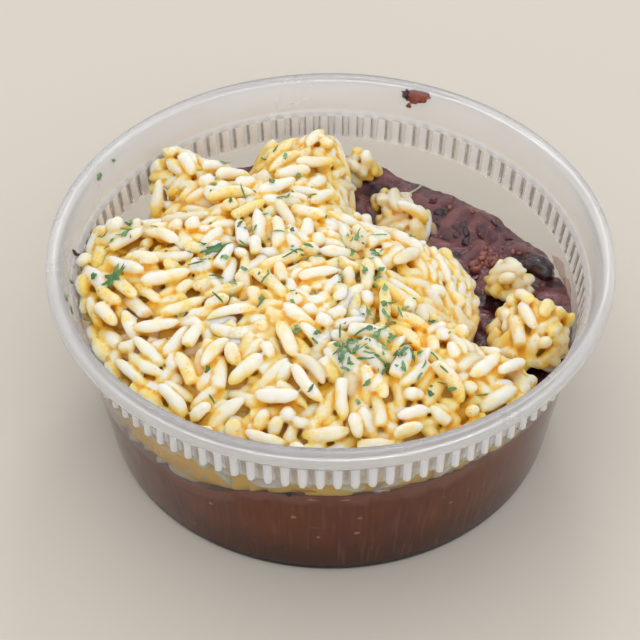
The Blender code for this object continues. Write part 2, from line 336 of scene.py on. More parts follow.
class Graph:
    """Short ways to add and join the nodes of one material or node group."""

    def __init__(self, tree: NodeTree) -> None:
        """Keeps the tree that the nodes go into."""
        self.tree = tree

    def add(self, kind: str, sockets: dict | None = None, **settings: object) -> Node:
        """Adds a node.

        Args:
            kind: the node's type, without its ShaderNode prefix.
            sockets: values, or sockets to join, by the input's name or number.
            settings: the node's own settings.

        Returns:
            The node.
        """
        node = self.tree.nodes.new("ShaderNode" + kind)
        for name, value in settings.items():
            setattr(node, name, value)
        for key, value in (sockets or {}).items():
            if isinstance(value, Socket):
                self.tree.links.new(value, node.inputs[key])
            elif isinstance(value, tuple) and len(value) == 3 and node.inputs[key].type == "RGBA":
                node.inputs[key].default_value = (*value, 1.0)
            else:
                node.inputs[key].default_value = value
        return node

    def join(self, value: Socket, node: Node, name: str) -> None:
        """Joins a socket to a node's input."""
        self.tree.links.new(value, node.inputs[name])

    def end(self, kind: str) -> Node:
        """Adds a group's input or output node."""
        return self.tree.nodes.new("NodeGroup" + kind)

    def place(self) -> Socket:
        """The point's own place on the object."""
        return self.add("TexCoord").outputs["Object"]

    def mark(self, name: str) -> Socket:
        """A mark of the mesh."""
        return self.add("Attribute", attribute_name=name).outputs["Fac"]

    def noise(self, where: Socket, scale: object, detail: float = 2.0) -> Socket:
        """Noise from 0 to 1 with so many lumps in a metre and so many finer layers."""
        sockets = {"Vector": where, "Scale": scale, "Detail": detail}
        return self.add("TexNoise", sockets).outputs["Fac"]

    def ramp(self, value: Socket, low: float, high: float, end: float = 1.0) -> Socket:
        """A smooth rise from 0 to an end value as a value goes from low to high."""
        sockets = {"Value": value, "From Min": low, "From Max": high, "To Max": end}
        return self.add("MapRange", sockets, interpolation_type="SMOOTHSTEP").outputs["Result"]

    def sum(self, *values: object, operation: str = "ADD") -> Socket:
        """Joins values by one operation, left to right.

        Args:
            values: sockets or numbers.
            operation: ADD, SUBTRACT, MULTIPLY, MAXIMUM or MINIMUM.

        Returns:
            The socket with the result.
        """
        result = values[0]
        for value in values[1:]:
            result = self.add("Math", {0: result, 1: value}, operation=operation).outputs[0]
        return result

    def times(self, value: Socket, by: float) -> Socket:
        """A value times a number."""
        return self.sum(value, by, operation="MULTIPLY")

    def mix(self, share: object, first: object, second: object) -> Socket:
        """Mixes two colours or their sockets by the share of the second."""
        sockets = {0: share, 6: first, 7: second}
        return self.add("Mix", sockets, data_type="RGBA").outputs[2]


def new_group(name: str, inputs: dict[str, float], output: str) -> tuple[Graph, Node]:
    """Starts a node group.

    Args:
        name: its name.
        inputs: the first value of each input, by name.
        output: the name of its output.

    Returns:
        Its graph and the node that gives its inputs.
    """
    tree = bpy.data.node_groups.new(name, "ShaderNodeTree")
    for label, start in inputs.items():
        socket = tree.interface.new_socket(label, in_out="INPUT", socket_type="NodeSocketFloat")
        socket.default_value = start
    tree.interface.new_socket(output, in_out="OUTPUT", socket_type="NodeSocketFloat")
    graph = Graph(tree)
    return graph, graph.end("Input")


@cache
def speck_group() -> NodeTree:
    """The group that scatters specks: places where fine noise is high.

    Returns:
        The node group, made once.
    """
    inputs = {"Specks in a metre": 1800.0, "Amount": 0.5}
    graph, given = new_group("scattered_specks", inputs, "Mask")
    place = graph.place()
    fine = graph.noise(place, given.outputs["Specks in a metre"], 1.0)
    patches = graph.noise(place, 260.0, 2.0)
    reach = graph.times(given.outputs["Amount"], 0.26)
    patchy = graph.times(graph.sum(patches, 0.5, operation="SUBTRACT"), 0.35)
    raised = graph.sum(fine, reach, patchy)
    mask = graph.ramp(raised, 0.74, 0.84)
    graph.join(mask, graph.end("Output"), "Mask")
    return graph.tree


@cache
def relief_group() -> NodeTree:
    """The group that gives the height of a moist, slightly uneven skin.

    Returns:
        The node group, made once.
    """
    graph, given = new_group("moist_skin", {"Lumps in a metre": 700.0}, "Height")
    place = graph.place()
    count = given.outputs["Lumps in a metre"]
    coarse = graph.noise(place, count, 2.0)
    fine = graph.noise(place, graph.times(count, 3.1), 1.0)
    height = graph.sum(coarse, graph.times(fine, 0.35))
    graph.join(height, graph.end("Output"), "Height")
    return graph.tree


def new_material(name: str, **values: object) -> tuple[Material, Graph, Node]:
    """Starts a material.

    Args:
        name: its name.
        values: values of the shader's inputs, with _ for each space in their names.

    Returns:
        The material, its graph and its Principled shader.
    """
    material = bpy.data.materials.new(name)
    material.use_nodes = True
    shader = material.node_tree.nodes["Principled BSDF"]
    for label, value in values.items():
        shader.inputs[label.replace("_", " ")].default_value = value
    return material, Graph(material.node_tree), shader


def finish_skin(
    graph: Graph, shader: Node, colour: Socket, rough: Socket, count: float, depth: float
) -> None:
    """Joins a colour and a roughness to a shader, and adds the fine relief of a moist skin.

    Args:
        graph: the material's graph.
        shader: its Principled shader.
        colour: the socket with the colour.
        rough: the socket with the roughness.
        count: lumps in a metre.
        depth: how deep the relief is.
    """
    graph.join(colour, shader, "Base Color")
    graph.join(rough, shader, "Roughness")
    skin = graph.add("Group", node_tree=relief_group())
    skin.inputs["Lumps in a metre"].default_value = count
    sockets = {"Height": skin.outputs["Height"], "Distance": depth, "Strength": 1.0}
    bump = graph.add("Bump", sockets)
    graph.join(bump.outputs["Normal"], shader, "Normal")


def specks(graph: Graph, count: float, amount: object) -> Socket:
    """A mask of scattered specks.

    Args:
        graph: the material's graph.
        count: specks in a metre.
        amount: 0 for few to 1 for many, or its socket.

    Returns:
        The socket with the mask.
    """
    node = graph.add("Group", node_tree=speck_group())
    node.inputs["Specks in a metre"].default_value = count
    if isinstance(amount, Socket):
        graph.join(amount, node, "Amount")
    else:
        node.inputs["Amount"].default_value = amount
    return node.outputs["Mask"]


@dataclass(frozen=True)
class ClearPlastic:
    """Thin milky polypropylene."""

    name: str
    clearness: float
    roughness: float
    colour: Colour = (0.86, 0.86, 0.87)
    ior: float = 1.49
    wave_count: float = 140.0
    wave_depth: float = 0.05 * MM

    def material(self) -> Material:
        """The material.

        Returns:
            The tub's material, a little cloudier in soft patches.
        """
        material, graph, shader = new_material(
            self.name, IOR=self.ior, Transmission_Weight=self.clearness
        )
        cloud = graph.noise(graph.place(), 60.0, 3.0)
        tint = graph.mix(cloud, self.colour, tuple(0.97 * part for part in self.colour))
        rough = graph.sum(graph.ramp(cloud, 0.3, 0.7, 0.08), self.roughness)
        finish_skin(graph, shader, tint, rough, self.wave_count, self.wave_depth)
        return material


CLEAR_WALL = ClearPlastic("clear_plastic", 0.995, 0.07, (0.90, 0.88, 0.86), 1.3)
CLOUDY_RIM = ClearPlastic("cloudy_plastic", 0.72, 0.20, (0.93, 0.92, 0.91), wave_depth=0.015 * MM)
MILKY_RIB = ClearPlastic("milky_rib", 0.35, 0.35, (0.95, 0.95, 0.96), wave_depth=0.01 * MM)


@dataclass(frozen=True)
class MashFinish:
    """Mashed dark beans, wet on top and pressed against the wall at the side."""

    paste: Colour = (0.118, 0.034, 0.038)
    crest: Colour = (0.20, 0.070, 0.072)
    hollow_shade: Colour = (0.042, 0.010, 0.012)
    skin: Colour = (0.035, 0.016, 0.026)
    wall_front: Colour = (0.215, 0.052, 0.009)
    wall_side: Colour = (0.25, 0.130, 0.105)
    wall_band: Colour = (0.27, 0.105, 0.070)
    wall_foot: Colour = (0.085, 0.026, 0.012)
    speck: Colour = (0.30, 0.16, 0.10)
    roughness: float = 0.13

    def material(self, pressed: bool) -> Material:
        """The material: it reads the marks wall, relief, band, foot, front, arc and rise.

        Args:
            pressed: whether it is the mash pressed against the wall, which doesn't shine.

        Returns:
            The mash's material.
        """
        name, shine = ("bean_mash_pressed", 0.04) if pressed else ("bean_mash_wet", 0.5)
        material, graph, shader = new_material(name, Specular_IOR_Level=shine)
        place = graph.place()
        fine = graph.noise(place, 900.0, 3.0)
        # Painted light and shade of the relief: lighter on the raised folds, darker in the pits.
        top = graph.mix(graph.ramp(graph.mark("relief"), 0.45, 1.0), self.paste, self.crest)
        top = graph.mix(graph.ramp(graph.mark("relief"), 0.35, 0.0), top, self.hollow_shade)
        skins = graph.ramp(graph.noise(place, 210.0, 2.0), 0.56, 0.66)
        top = graph.mix(skins, top, self.skin)
        top = graph.mix(specks(graph, 1500.0, 0.25), top, self.speck)
        # Away from the front, the mash turns greyer and lighter: a painted milky sheen of the wall
        # seen at a slant, over the mash's own colour.
        front = graph.mix(graph.mark("front"), self.wall_side, self.wall_front)
        smear = graph.noise(place, 120.0, 4.0)
        side = graph.mix(graph.ramp(smear, 0.35, 0.7, 0.5), front, self.paste)
        # Painted shade: darker towards the foot of the wall, most at the front.
        side = graph.mix(graph.mark("foot"), side, self.wall_foot)
        stretched = graph.add("CombineXYZ", {"X": graph.mark("arc"), "Y": graph.mark("rise")})
        streaks = graph.noise(stretched.outputs["Vector"], 1.0, 3.0)
        side = graph.mix(graph.ramp(streaks, 0.52, 0.75, 0.6), side, self.wall_band)
        side = graph.mix(graph.ramp(streaks, 0.46, 0.26, 0.6), side, self.wall_foot)
        band = graph.sum(graph.mark("band"), graph.ramp(smear, 0.35, 0.65, 0.6))
        side = graph.mix(graph.ramp(band, 0.7, 1.3), side, self.wall_band)
        side = graph.mix(specks(graph, 1300.0, 0.10), side, self.speck)
        colour = graph.mix(graph.mark("wall"), top, side)
        rough = graph.sum(graph.ramp(fine, 0.3, 0.8, 0.16), self.roughness)
        finish_skin(graph, shader, colour, rough, 1100.0, 0.16 * MM)
        return material


@dataclass(frozen=True)
class RiceFinish:
    """Cooked rice: pale where it stands highest, golden in crevices and on the undersides of
    grains, partly the seasoned sauce and partly painted shade and glow.
    """

    name: str
    pale: Colour
    gold: Colour
    deep: Colour
    glassy: Colour = (0.66, 0.62, 0.46)
    powder: Colour = (0.84, 0.40, 0.07)
    soiled: Colour = (0.22, 0.085, 0.075)
    roughness: float = 0.34
    softness: float = 1.0
    glow: float = 3.8 * MM

    def material(self) -> Material:
        """The material: it reads the marks depth, tint, stain, crease, glassy and soil.

        Returns:
            The rice's material.
        """
        material, graph, shader = new_material(
            self.name,
            Subsurface_Weight=self.softness,
            Subsurface_Radius=(1.0, 0.80, 0.34),
            Subsurface_Scale=self.glow,
        )
        place = graph.place()
        drift = graph.noise(place, 420.0, 2.0)
        blots = graph.noise(place, 260.0, 3.0)
        # Painted shade and glow: depth, crease and each grain's lower side turn the rice golden,
        # then deep orange. Drift, blots, tint and stain add the sauce's own patches.
        depth = graph.sum(
            graph.mark("depth"),
            graph.ramp(drift, 0.25, 0.75, 0.8),
            -0.3,
            graph.ramp(graph.mark("stain"), 0.0, 1.0, 0.8),
            graph.ramp(blots, 0.50, 0.72, 1.0),
            graph.ramp(graph.mark("crease"), -0.015, 0.06, 2.7),
            graph.ramp(graph.mark("tint"), 0.0, 1.0, 0.4),
        )
        colour = graph.mix(graph.ramp(depth, 0.1, 2.2), self.pale, self.gold)
        colour = graph.mix(graph.ramp(depth, 2.2, 4.4), colour, self.deep)
        glassy = graph.times(graph.mark("glassy"), 0.7)
        colour = graph.mix(glassy, colour, self.glassy)
        amount = graph.ramp(graph.mark("stain"), 0.2, 1.0, 0.6)
        dust = graph.times(specks(graph, 1500.0, amount), 0.6)
        colour = graph.mix(dust, colour, self.powder)
        colour = graph.mix(graph.mark("soil"), colour, self.soiled)
        rough = graph.sum(graph.ramp(drift, 0.3, 0.7, 0.18), self.roughness)
        finish_skin(graph, shader, colour, rough, 1300.0, 0.07 * MM)
        return material


# gold and deep are partly the sauce's colour and partly painted shade and glow in crevices.
COOKED_RICE = RiceFinish("rice_cooked", (0.84, 0.82, 0.73), (0.92, 0.64, 0.19), (0.93, 0.49, 0.03))
# The core shows in the gaps between grains. Its deep gold is painted shade and glow, together with
# the sauce that soaks the rice.
CORE_RICE = RiceFinish(
    "rice_core", (0.94, 0.68, 0.20), (0.93, 0.60, 0.11), (0.90, 0.50, 0.06), softness=0.5
)


@dataclass(frozen=True)
class PlainFinish:
    """A finish of two close colours with a moist relief."""

    name: str
    light: Colour
    dark: Colour
    roughness: float
    relief: float = 0.05 * MM
    coat: float = 0.0
    cover: float = 1.0

    def material(self) -> Material:
        """The material: it reads the mark tint.

        Returns:
            The material.
        """
        material, graph, shader = new_material(
            self.name, Coat_Weight=self.coat, Alpha=self.cover
        )
        drift = graph.noise(graph.place(), 500.0, 3.0)
        tint = graph.ramp(graph.mark("tint"), 0, 1, 0.6)
        share = graph.sum(graph.ramp(drift, 0.3, 0.7, 0.5), tint)
        colour = graph.mix(share, self.light, self.dark)
        rough = graph.sum(graph.ramp(drift, 0.2, 0.8, 0.15), self.roughness)
        finish_skin(graph, shader, colour, rough, 1500.0, self.relief)
        return material


HERB = PlainFinish("dried_herb", (0.26, 0.46, 0.19), (0.05, 0.15, 0.04), 0.5)
PALE_STEM = PlainFinish("pale_stem", (0.55, 0.60, 0.36), (0.32, 0.40, 0.18), 0.4)
BEAN_SKIN = PlainFinish(
    "bean_skin_wet", (0.075, 0.022, 0.034), (0.020, 0.007, 0.013), 0.16, coat=0.3
)
CRUMB = PlainFinish("bean_crumb", (0.42, 0.15, 0.11), (0.14, 0.038, 0.036), 0.16, 0.12 * MM)
SMEAR = PlainFinish("bean_smear", (0.30, 0.055, 0.030), (0.12, 0.018, 0.012), 0.14, 0.08 * MM, 0.6)
FLESH = PlainFinish("bean_flesh", (0.46, 0.29, 0.18), (0.30, 0.15, 0.09), 0.40)
SAUCE = PlainFinish("orange_sauce", (0.60, 0.22, 0.06), (0.42, 0.12, 0.04), 0.25, cover=0.25)
FLECK = PlainFinish("dark_fleck", (0.035, 0.020, 0.018), (0.012, 0.006, 0.006), 0.30)


def round_body(rings: int, sides: int) -> tuple[Array, list[Array]]:
    """A ball about X with a radius of 1.

    Args:
        rings: rings of points between its ends.
        sides: points in each ring.

    Returns:
        Its points, and its quads and triangles.
    """
    station = -np.cos(np.pi * np.arange(1, rings + 1) / (rings + 1))[:, None]
    girth = np.sqrt(1 - station**2)
    turn = even_turns(sides)
    x = np.broadcast_to(station, (rings, sides))
    body = np.stack((x, girth * np.cos(turn), girth * np.sin(turn)), -1).reshape(-1, 3)
    points = np.concatenate((body, ((-1.0, 0.0, 0.0), (1.0, 0.0, 0.0))))
    caps = end_caps((rings - 1) * sides, sides, rings * sides)
    return points, [ring_faces(rings, sides)[:, ::-1], caps]


def curled_plate(
    rim: Array, curl: float, thickness: float, random: Random
) -> tuple[Array, Array]:
    """A thin curled plate with an uneven outline, lying about its middle.

    Args:
        rim: the outline's points seen from above, (n, 2).
        curl: how far it curls up.
        thickness: its thickness.
        random: gives the dents.

    Returns:
        Its points and its triangles.
    """
    ring = np.concatenate((rim, rim * 0.5, ((0.0, 0.0),)))
    reach = np.abs(rim).max()
    lift = curl * (ring[:, 0] ** 2 + 0.6 * ring[:, 1] ** 2) / reach
    lift += random.uniform(-0.05, 0.05, len(ring)) * reach
    upper = np.column_stack((ring, lift + thickness / 2))
    lower = np.column_stack((ring, lift - thickness / 2))
    count = len(rim)
    base = len(ring)
    spots = np.arange(count)
    after = (spots + 1) % count
    middle = np.full(count, 2 * count)
    top = (
        (spots, after, after + count),
        (spots, after + count, spots + count),
        (spots + count, after + count, middle),
    )
    top = np.concatenate([np.stack(corners, -1) for corners in top])
    side = ((spots, spots + base, after + base), (spots, after + base, after))
    side = [np.stack(corners, -1) for corners in side]
    return np.concatenate((upper, lower)), np.concatenate((top, top[:, ::-1] + base, *side))


class Pile:
    """Gathers small bodies of one kind into one piece."""

    def __init__(self) -> None:
        """Starts empty."""
        self.points: list[Array] = []
        self.faces: list[Array] = []
        self.tints: list[Array] = []
        self.total = 0

    def add(self, points: Array, faces: list[Array], tint: float) -> None:
        """Adds a body.

        Args:
            points: its points, (n, 3).
            faces: arrays of its faces.
            tint: the mark of its colour, from 0 to 1.
        """
        self.points.append(points)
        self.faces += [corners + self.total for corners in faces]
        self.tints.append(np.full(len(points), tint))
        self.total += len(points)

    def build(self, name: str, slot: str, finish: PlainFinish, *nodes: str) -> None:
        """Makes the piece.

        Args:
            name: its name.
            slot: its material slot.
            finish: its finish.
            nodes: the solids that it replaces.
        """
        by_size: dict[int, list[Array]] = {}
        for corners in self.faces:
            by_size.setdefault(corners.shape[1], []).append(corners)
        faces = [np.concatenate(group) for group in by_size.values()]
        marks = {"tint": np.concatenate(self.tints)}
        piece = new_piece(name, np.concatenate(self.points), faces, finish.material(), marks)
        fit_out(piece, slot, *nodes)


def facing(place: Spot, way: Vector, spin: float) -> Matrix:
    """Where a plate lies whose flat side faces a way, with its turn about that way."""
    tilt = Vector((0, 0, 1)).rotation_difference(way.normalized()).to_matrix().to_4x4()
    return Matrix.Translation(place) @ tilt @ Matrix.Rotation(spin, 4, "Z")


def moved(points: Array, where: Matrix) -> Array:
    """Points turned and moved by a matrix."""
    return points @ np.array(where.to_3x3()).T + np.array(where.translation)


def rounded_path(corners: list[Spot], steps: int = 3) -> Array:
    """A line through corners, each rounded off.

    Args:
        corners: (radius, height, rounding) of each corner.
        steps: points along each rounding.

    Returns:
        The line's (radius, height) points.
    """
    line = []
    for spot, (radius, height, rounding) in enumerate(corners):
        here = np.array((radius, height))
        if rounding == 0 or spot in (0, len(corners) - 1):
            line.append(here)
            continue
        before = np.array(corners[spot - 1][:2]) - here
        after = np.array(corners[spot + 1][:2]) - here
        reach = min(rounding, np.linalg.norm(before) * 0.45, np.linalg.norm(after) * 0.45)
        first = here + before / np.linalg.norm(before) * reach
        last = here + after / np.linalg.norm(after) * reach
        for share in np.linspace(0.0, 1.0, steps + 1):
            line.append(
                (1 - share) ** 2 * first + 2 * share * (1 - share) * here + share**2 * last
            )
    return np.array(line)


@dataclass
class Tub:
    """The clear tub: a turned shell with a skirted rim, a ledge and a ring of ribs."""

    rim_height: float = 46.5 * MM
    rim_outer: float = 58.0 * MM
    rim_inner: float = 55.6 * MM
    skirt_radius: float = 58.5 * MM
    skirt_drop: float = 3.0 * MM
    wall: float = 0.8 * MM
    base_radius: float = 47.8 * MM
    chamfer: float = 0.8 * MM
    foot_width: float = 2.6 * MM
    foot_height: float = 0.8 * MM
    ledge_height: float = 38.2 * MM
    ledge_radius: float = 53.4 * MM
    ledge_step: float = 1.2 * MM
    ledge_rise: float = 0.6 * MM
    rib_count: int = 100
    rib_bottom: float = 32.5 * MM
    rib_outer: float = 54.0 * MM
    rib_width: float = 1.7 * MM
    rib_edge: float = 0.34 * MM
    points_per_rib: int = 8
    rib_zone: float = 30 * MM
    waviness: Span = (0.04 * MM, 0.03 * MM)
    finishes: tuple[ClearPlastic, ...] = (CLEAR_WALL, CLOUDY_RIM, MILKY_RIB)

    def outer_radius(self, height: Array) -> Array:
        """Radius of the outer wall below the ledge."""
        slope = (self.ledge_radius - self.base_radius) / self.ledge_height
        return self.base_radius + slope * np.asarray(height)

    def inner_radius(self, height: Array) -> Array:
        """Radius of the inner wall at a height, also above the ledge.

        Args:
            height: height above the table.

        Returns:
            The radius.
        """
        height = np.asarray(height, float)
        below = self.outer_radius(height) - self.wall
        foot = self.ledge_radius + self.ledge_step - self.wall
        step = self.ledge_height + self.ledge_rise + self.wall / 2
        share = (height - step) / (self.rim_height - step)
        above = foot + (self.rim_inner - foot) * share
        return np.where(height > step, above, below)

    def outside(self) -> list[Spot]:
        """Corners of the outside, from the middle of the base up to the rim.

        Returns:
            (radius, height, rounding) of each corner.
        """
        foot = self.base_radius - self.chamfer - self.foot_width
        ledge = self.ledge_radius + self.ledge_step
        under = self.rim_height - 2 * self.wall
        skirt = self.rim_height - self.skirt_drop
        groove = self.skirt_radius - self.wall
        corners = [
            (0.6 * MM, self.foot_height, 0.0),
            (foot - self.foot_height, self.foot_height, 0.4 * MM),
            (foot, 0.0, 0.3 * MM),
            (self.base_radius - self.chamfer, 0.0, 0.5 * MM),
            (self.base_radius, self.chamfer, 0.6 * MM),
        ]
        low_rows = np.linspace(4 * MM, self.rib_bottom - 1.0 * MM, 5)
        rib_rows = np.linspace(self.rib_bottom - 0.5 * MM, self.ledge_height - 0.4 * MM, 19)
        rows = np.concatenate((low_rows, rib_rows))
        corners += [(float(self.outer_radius(row)), float(row), 0.0) for row in rows]
        corners += [
            (self.ledge_radius, self.ledge_height, 0.0),
            (ledge, self.ledge_height + self.ledge_rise, 0.5 * MM),
            (self.rim_inner + self.wall, under, 0.8 * MM),
            (groove, under, 0.5 * MM),
            (groove, skirt, 0.35 * MM),
            (self.skirt_radius, skirt, 0.35 * MM),
            (self.rim_outer, self.rim_height, 0.9 * MM),
        ]
        return corners

    def inside(self) -> list[Spot]:
        """Corners of the inside, from the rim down to the middle of the floor.

        Returns:
            (radius, height, rounding) of each corner.
        """
        floor = self.foot_height + self.wall
        ledge = self.ledge_radius + self.ledge_step - self.wall
        bend = self.ledge_height + self.wall / 2
        corners = [
            (self.rim_inner, self.rim_height, 0.9 * MM),
            (ledge, bend + self.ledge_rise, 0.5 * MM),
            (float(self.inner_radius(self.ledge_height)), bend, 0.7 * MM),
        ]
        rib_rows = np.linspace(self.ledge_height - 0.5 * MM, self.rib_bottom + 0.1 * MM, 6)
        low_rows = np.linspace(self.rib_bottom - 2 * MM, floor + 2 * MM, 5)
        rows = np.concatenate((rib_rows, low_rows))
        corners += [(float(self.outer_radius(row)) - self.wall, float(row), 0.0) for row in rows]
        corners += [
            (self.base_radius - self.wall, floor + self.wall / 2, 0.6 * MM),
            (self.base_radius - 2 * self.wall, floor, 0.4 * MM),
            (0.6 * MM, floor, 0.0),
        ]
        return corners

    def rib_share(self, turn: Array, height: Array) -> Array:
        """How far a point is on a rib, whose foot is round.

        Args:
            turn: angles in radians.
            height: heights above the table.

        Returns:
            1 on a rib and 0 between two.
        """
        pitch = 2 * math.pi / self.rib_count
        across = (np.mod(turn / pitch, 1.0) - 0.5) * pitch * self.ledge_radius
        half = self.rib_width / 2
        below = np.minimum(0.0, height - (self.rib_bottom + half))
        away = np.hypot(across, below) - half
        in_band = height < self.ledge_height + 0.1 * MM
        return smooth_step(self.rib_edge, -self.rib_edge, away) * in_band

    def build(self) -> None:
        """Makes the tub, which replaces its solid."""
        outside = rounded_path(self.outside())
        section = np.concatenate((outside, rounded_path(self.inside())))
        around = self.rib_count * self.points_per_rib
        turn = even_turns(around)
        radius = np.repeat(section[:, 0][:, None], around, 1)
        height = np.repeat(section[:, 1][:, None], around, 1)
        outer = np.arange(len(section)) < len(outside)
        below_ledge = section[:, 0] < self.ledge_radius + 0.2 * MM
        near_ribs = (section[:, 1] > self.rib_zone) & below_ledge
        band = outer & near_ribs
        rise = self.rib_share(turn[None, :], height) * (self.rib_outer - radius)
        radius = np.where(band[:, None], radius + np.maximum(rise, 0.0), radius)
        body = (section[:, 1] > 2 * MM)[:, None] & ~band[:, None]
        wide, narrow = self.waviness
        waves = wide * np.sin(5 * turn + 1.0) + narrow * np.sin(11 * turn + height * 90)
        radius = radius + np.where(body, waves, 0.0)
        points = round_axis(radius, turn, height).reshape(-1, 3)
        middle = [(0.0, 0.0, section[0, 1]), (0.0, 0.0, section[-1, 1])]
        faces = ring_faces(len(section), around)
        caps = end_caps((len(section) - 1) * around, around, len(points))[:, FLIPPED]
        points = np.concatenate((points, middle))
        clear, cloudy, milky = (finish.material() for finish in self.finishes)
        piece = new_piece("tub_shell", points, [faces, caps], clear)
        in_band = band[:, None] & (height > self.rib_bottom)
        on_rim = (in_band | (height > self.ledge_height)).ravel()[faces].all(1)
        on_rib = near_ribs[:, None] & (self.rib_share(turn[None, :], height) > 0.8)
        on_rib = on_rib.ravel()[faces].any(1)
        paint(piece, np.where(on_rib, 2, np.where(on_rim, 1, 0)), cloudy, milky)
        fit_out(piece, "tub_plastic", "tub")


def search_tree(piece: Piece) -> BVHTree:
    """A search tree of a piece's or solid's faces."""
    corners = [corner.co for corner in piece.data.vertices]
    return BVHTree.FromPolygons(corners, [tuple(face.vertices) for face in piece.data.polygons])


@dataclass
class BeanMash:
    """The bean mash: uneven and wet on top, pressed into the tub's wall at the side."""

    tub: Tub
    around: int = 640
    side_rows: int = 24
    bare_radius: float = 17.0 * MM
    ring_step: float = 0.5 * MM
    into_wall: float = 0.15 * MM
    edge_margin: float = 2.2 * MM
    floor: float = 1.75 * MM
    level_passes: int = 3
    under_heap: Span = (12 * MM, 20 * MM)
    streaks: Span = (60.0, 90.0)
    finish: MashFinish = field(default_factory=MashFinish)

    def radii(self) -> Array:
        """Where the top has rings of points, close together where the mash is bare.

        Returns:
            Shares of the way out to the wall.
        """
        wall = self.tub.ledge_radius
        inner = np.linspace(0.02, self.bare_radius / wall, 9)
        outer = np.arange(self.bare_radius / wall, 1.0, self.ring_step / wall)[1:]
        return np.concatenate((inner, outer, (1.0,)))

    def relief(self, points: Array) -> Array:
        """The folds, lumps and pits of the paste.

        Args:
            points: points of the top.

        Returns:
            How far each stands up.
        """
        bend = np.stack([lumps(points, 7 * MM, seed) for seed in (3.0, 9.0, 12.0)], -1)
        bent = points + 2.2 * MM * bend
        big_folds = 0.95 * MM * folds(bent, 8 * MM, 5.0)
        big_lumps = 0.65 * MM * lumps(bent, 3.6 * MM, 6.0)
        small_folds = 0.42 * MM * folds(bent, 3.0 * MM, 8.0)
        small_lumps = 0.26 * MM * lumps(points, 1.3 * MM, 2.0)
        grit = 0.08 * MM * lumps(points, 0.6 * MM, 4.0)
        return big_folds + big_lumps + small_folds + small_lumps + grit

    def build(self) -> Piece:
        """Makes the mash.

        Returns:
            The mash, which replaces its solid.
        """
        tree = search_tree(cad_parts["bean_mash"])
        turn = even_turns(self.around)
        shares = self.radii()
        edge = self.tub.inner_radius(MASH_LEVEL) - self.edge_margin
        level = np.zeros((len(shares), self.around))
        for row, share in enumerate(shares):
            for spot, angle in enumerate(turn):
                radius = share * edge
                start = Vector((radius * math.cos(angle), radius * math.sin(angle), SKY))
                level[row, spot] = tree.ray_cast(start, DOWN)[0].z
        for _ in range(self.level_passes):
            side_by_side = (np.roll(level, 2, 1) + level + np.roll(level, -2, 1)) / 3
            level[1:-1] = (side_by_side[:-2] + 2 * side_by_side[1:-1] + side_by_side[2:]) / 4
            level[-1] = side_by_side[-1]
        flat = round_axis(shares[:, None] * edge, turn, level).reshape(-1, 3)
        relief = self.relief(flat).reshape(level.shape)
        rim = smooth_step(1.0, 0.93, shares)[:, None]
        rim_line = 0.5 * MM * lumps(flat[-self.around :], 3.5 * MM, 1.0)
        rim_line += 0.25 * MM * lumps(flat[-self.around :], 1.2 * MM, 1.5)
        heap_side = smooth_step(*self.under_heap, np.hypot(flat[:, 0], flat[:, 1]))
        level = level + relief * (0.25 + 0.75 * rim) * heap_side.reshape(level.shape)
        level[-1] += rim_line
        wall_radius = self.tub.inner_radius(level[-1]) + self.into_wall
        radius = shares[:, None] * wall_radius[None, :]
        top = round_axis(radius, turn, level)
        rows = np.linspace(1.0, 0.0, self.side_rows + 1)[1:]
        side_level = self.floor + rows[:, None] * (level[-1][None, :] - self.floor)
        side_radius = self.tub.inner_radius(side_level) + self.into_wall
        side = round_axis(side_radius, turn, side_level)
        points = np.concatenate((top.reshape(-1, 3), side.reshape(-1, 3)))
        count = len(shares) + len(rows)
        faces = ring_faces(count, self.around)[:, ::-1]
        caps = end_caps((count - 1) * self.around, self.around, len(points))
        middle = [(0, 0, level[0].mean()), (0, 0, self.floor)]
        marks = self.marks(points, top.size // 3, relief, level[-1])
        points = np.concatenate((points, middle))
        wet, pressed = self.finish.material(False), self.finish.material(True)
        piece = new_piece("bean_mash_paste", points, [faces, caps], wet, marks)
        paint(piece, np.arange(len(faces)) >= (len(shares) - 1) * self.around, pressed)
        fit_out(piece, "bean_mash", "bean_mash")
        return piece

    def marks(
        self, points: Array, top_count: int, relief: Array, edge: Array
    ) -> dict[str, Array]:
        """The marks that the mash's material reads.

        Args:
            points: the points of the top and then of the side.
            top_count: how many belong to the top.
            relief: how far the top's points stand up.
            edge: the height of the top's edge all round.

        Returns:
            One number for each point by name, with two more for the middle points.
        """
        wall = np.arange(len(points)) >= top_count - self.around
        span = np.percentile(relief, (5, 95))
        stand = np.zeros(len(points))
        stand[:top_count] = np.clip((relief.ravel() - span[0]) / (span[1] - span[0]), 0, 1)
        turn = np.arctan2(points[:, 1], points[:, 0])
        below = np.tile(edge, len(points) // self.around) - points[:, 2]
        # front: the part of the wall that faces the camera. Away from it, the side colour paints
        # the wall's milky sheen.
        front = smooth_step(62, 22, np.abs(np.degrees(turn) + 82))
        marks = {
            "wall": wall.astype(float),
            "relief": stand,
            "band": smooth_step(6.5 * MM, 0.5 * MM, below) * (0.35 + 0.65 * front),
            # painted shade towards the base
            "foot": smooth_step(15 * MM, 3 * MM, points[:, 2]) * (0.3 + 0.7 * front),
            "front": front,
            "arc": turn * self.streaks[0],
            "rise": points[:, 2] * self.streaks[1],
        }
        return {name: np.concatenate((values, (0.0, 0.0))) for name, values in marks.items()}


CLUMPS = ("rice_clump_right", "rice_clump_middle", "rice_clump_lobe", "rice_clump_tip")
RICE_NODES = ("rice_heap", *CLUMPS)


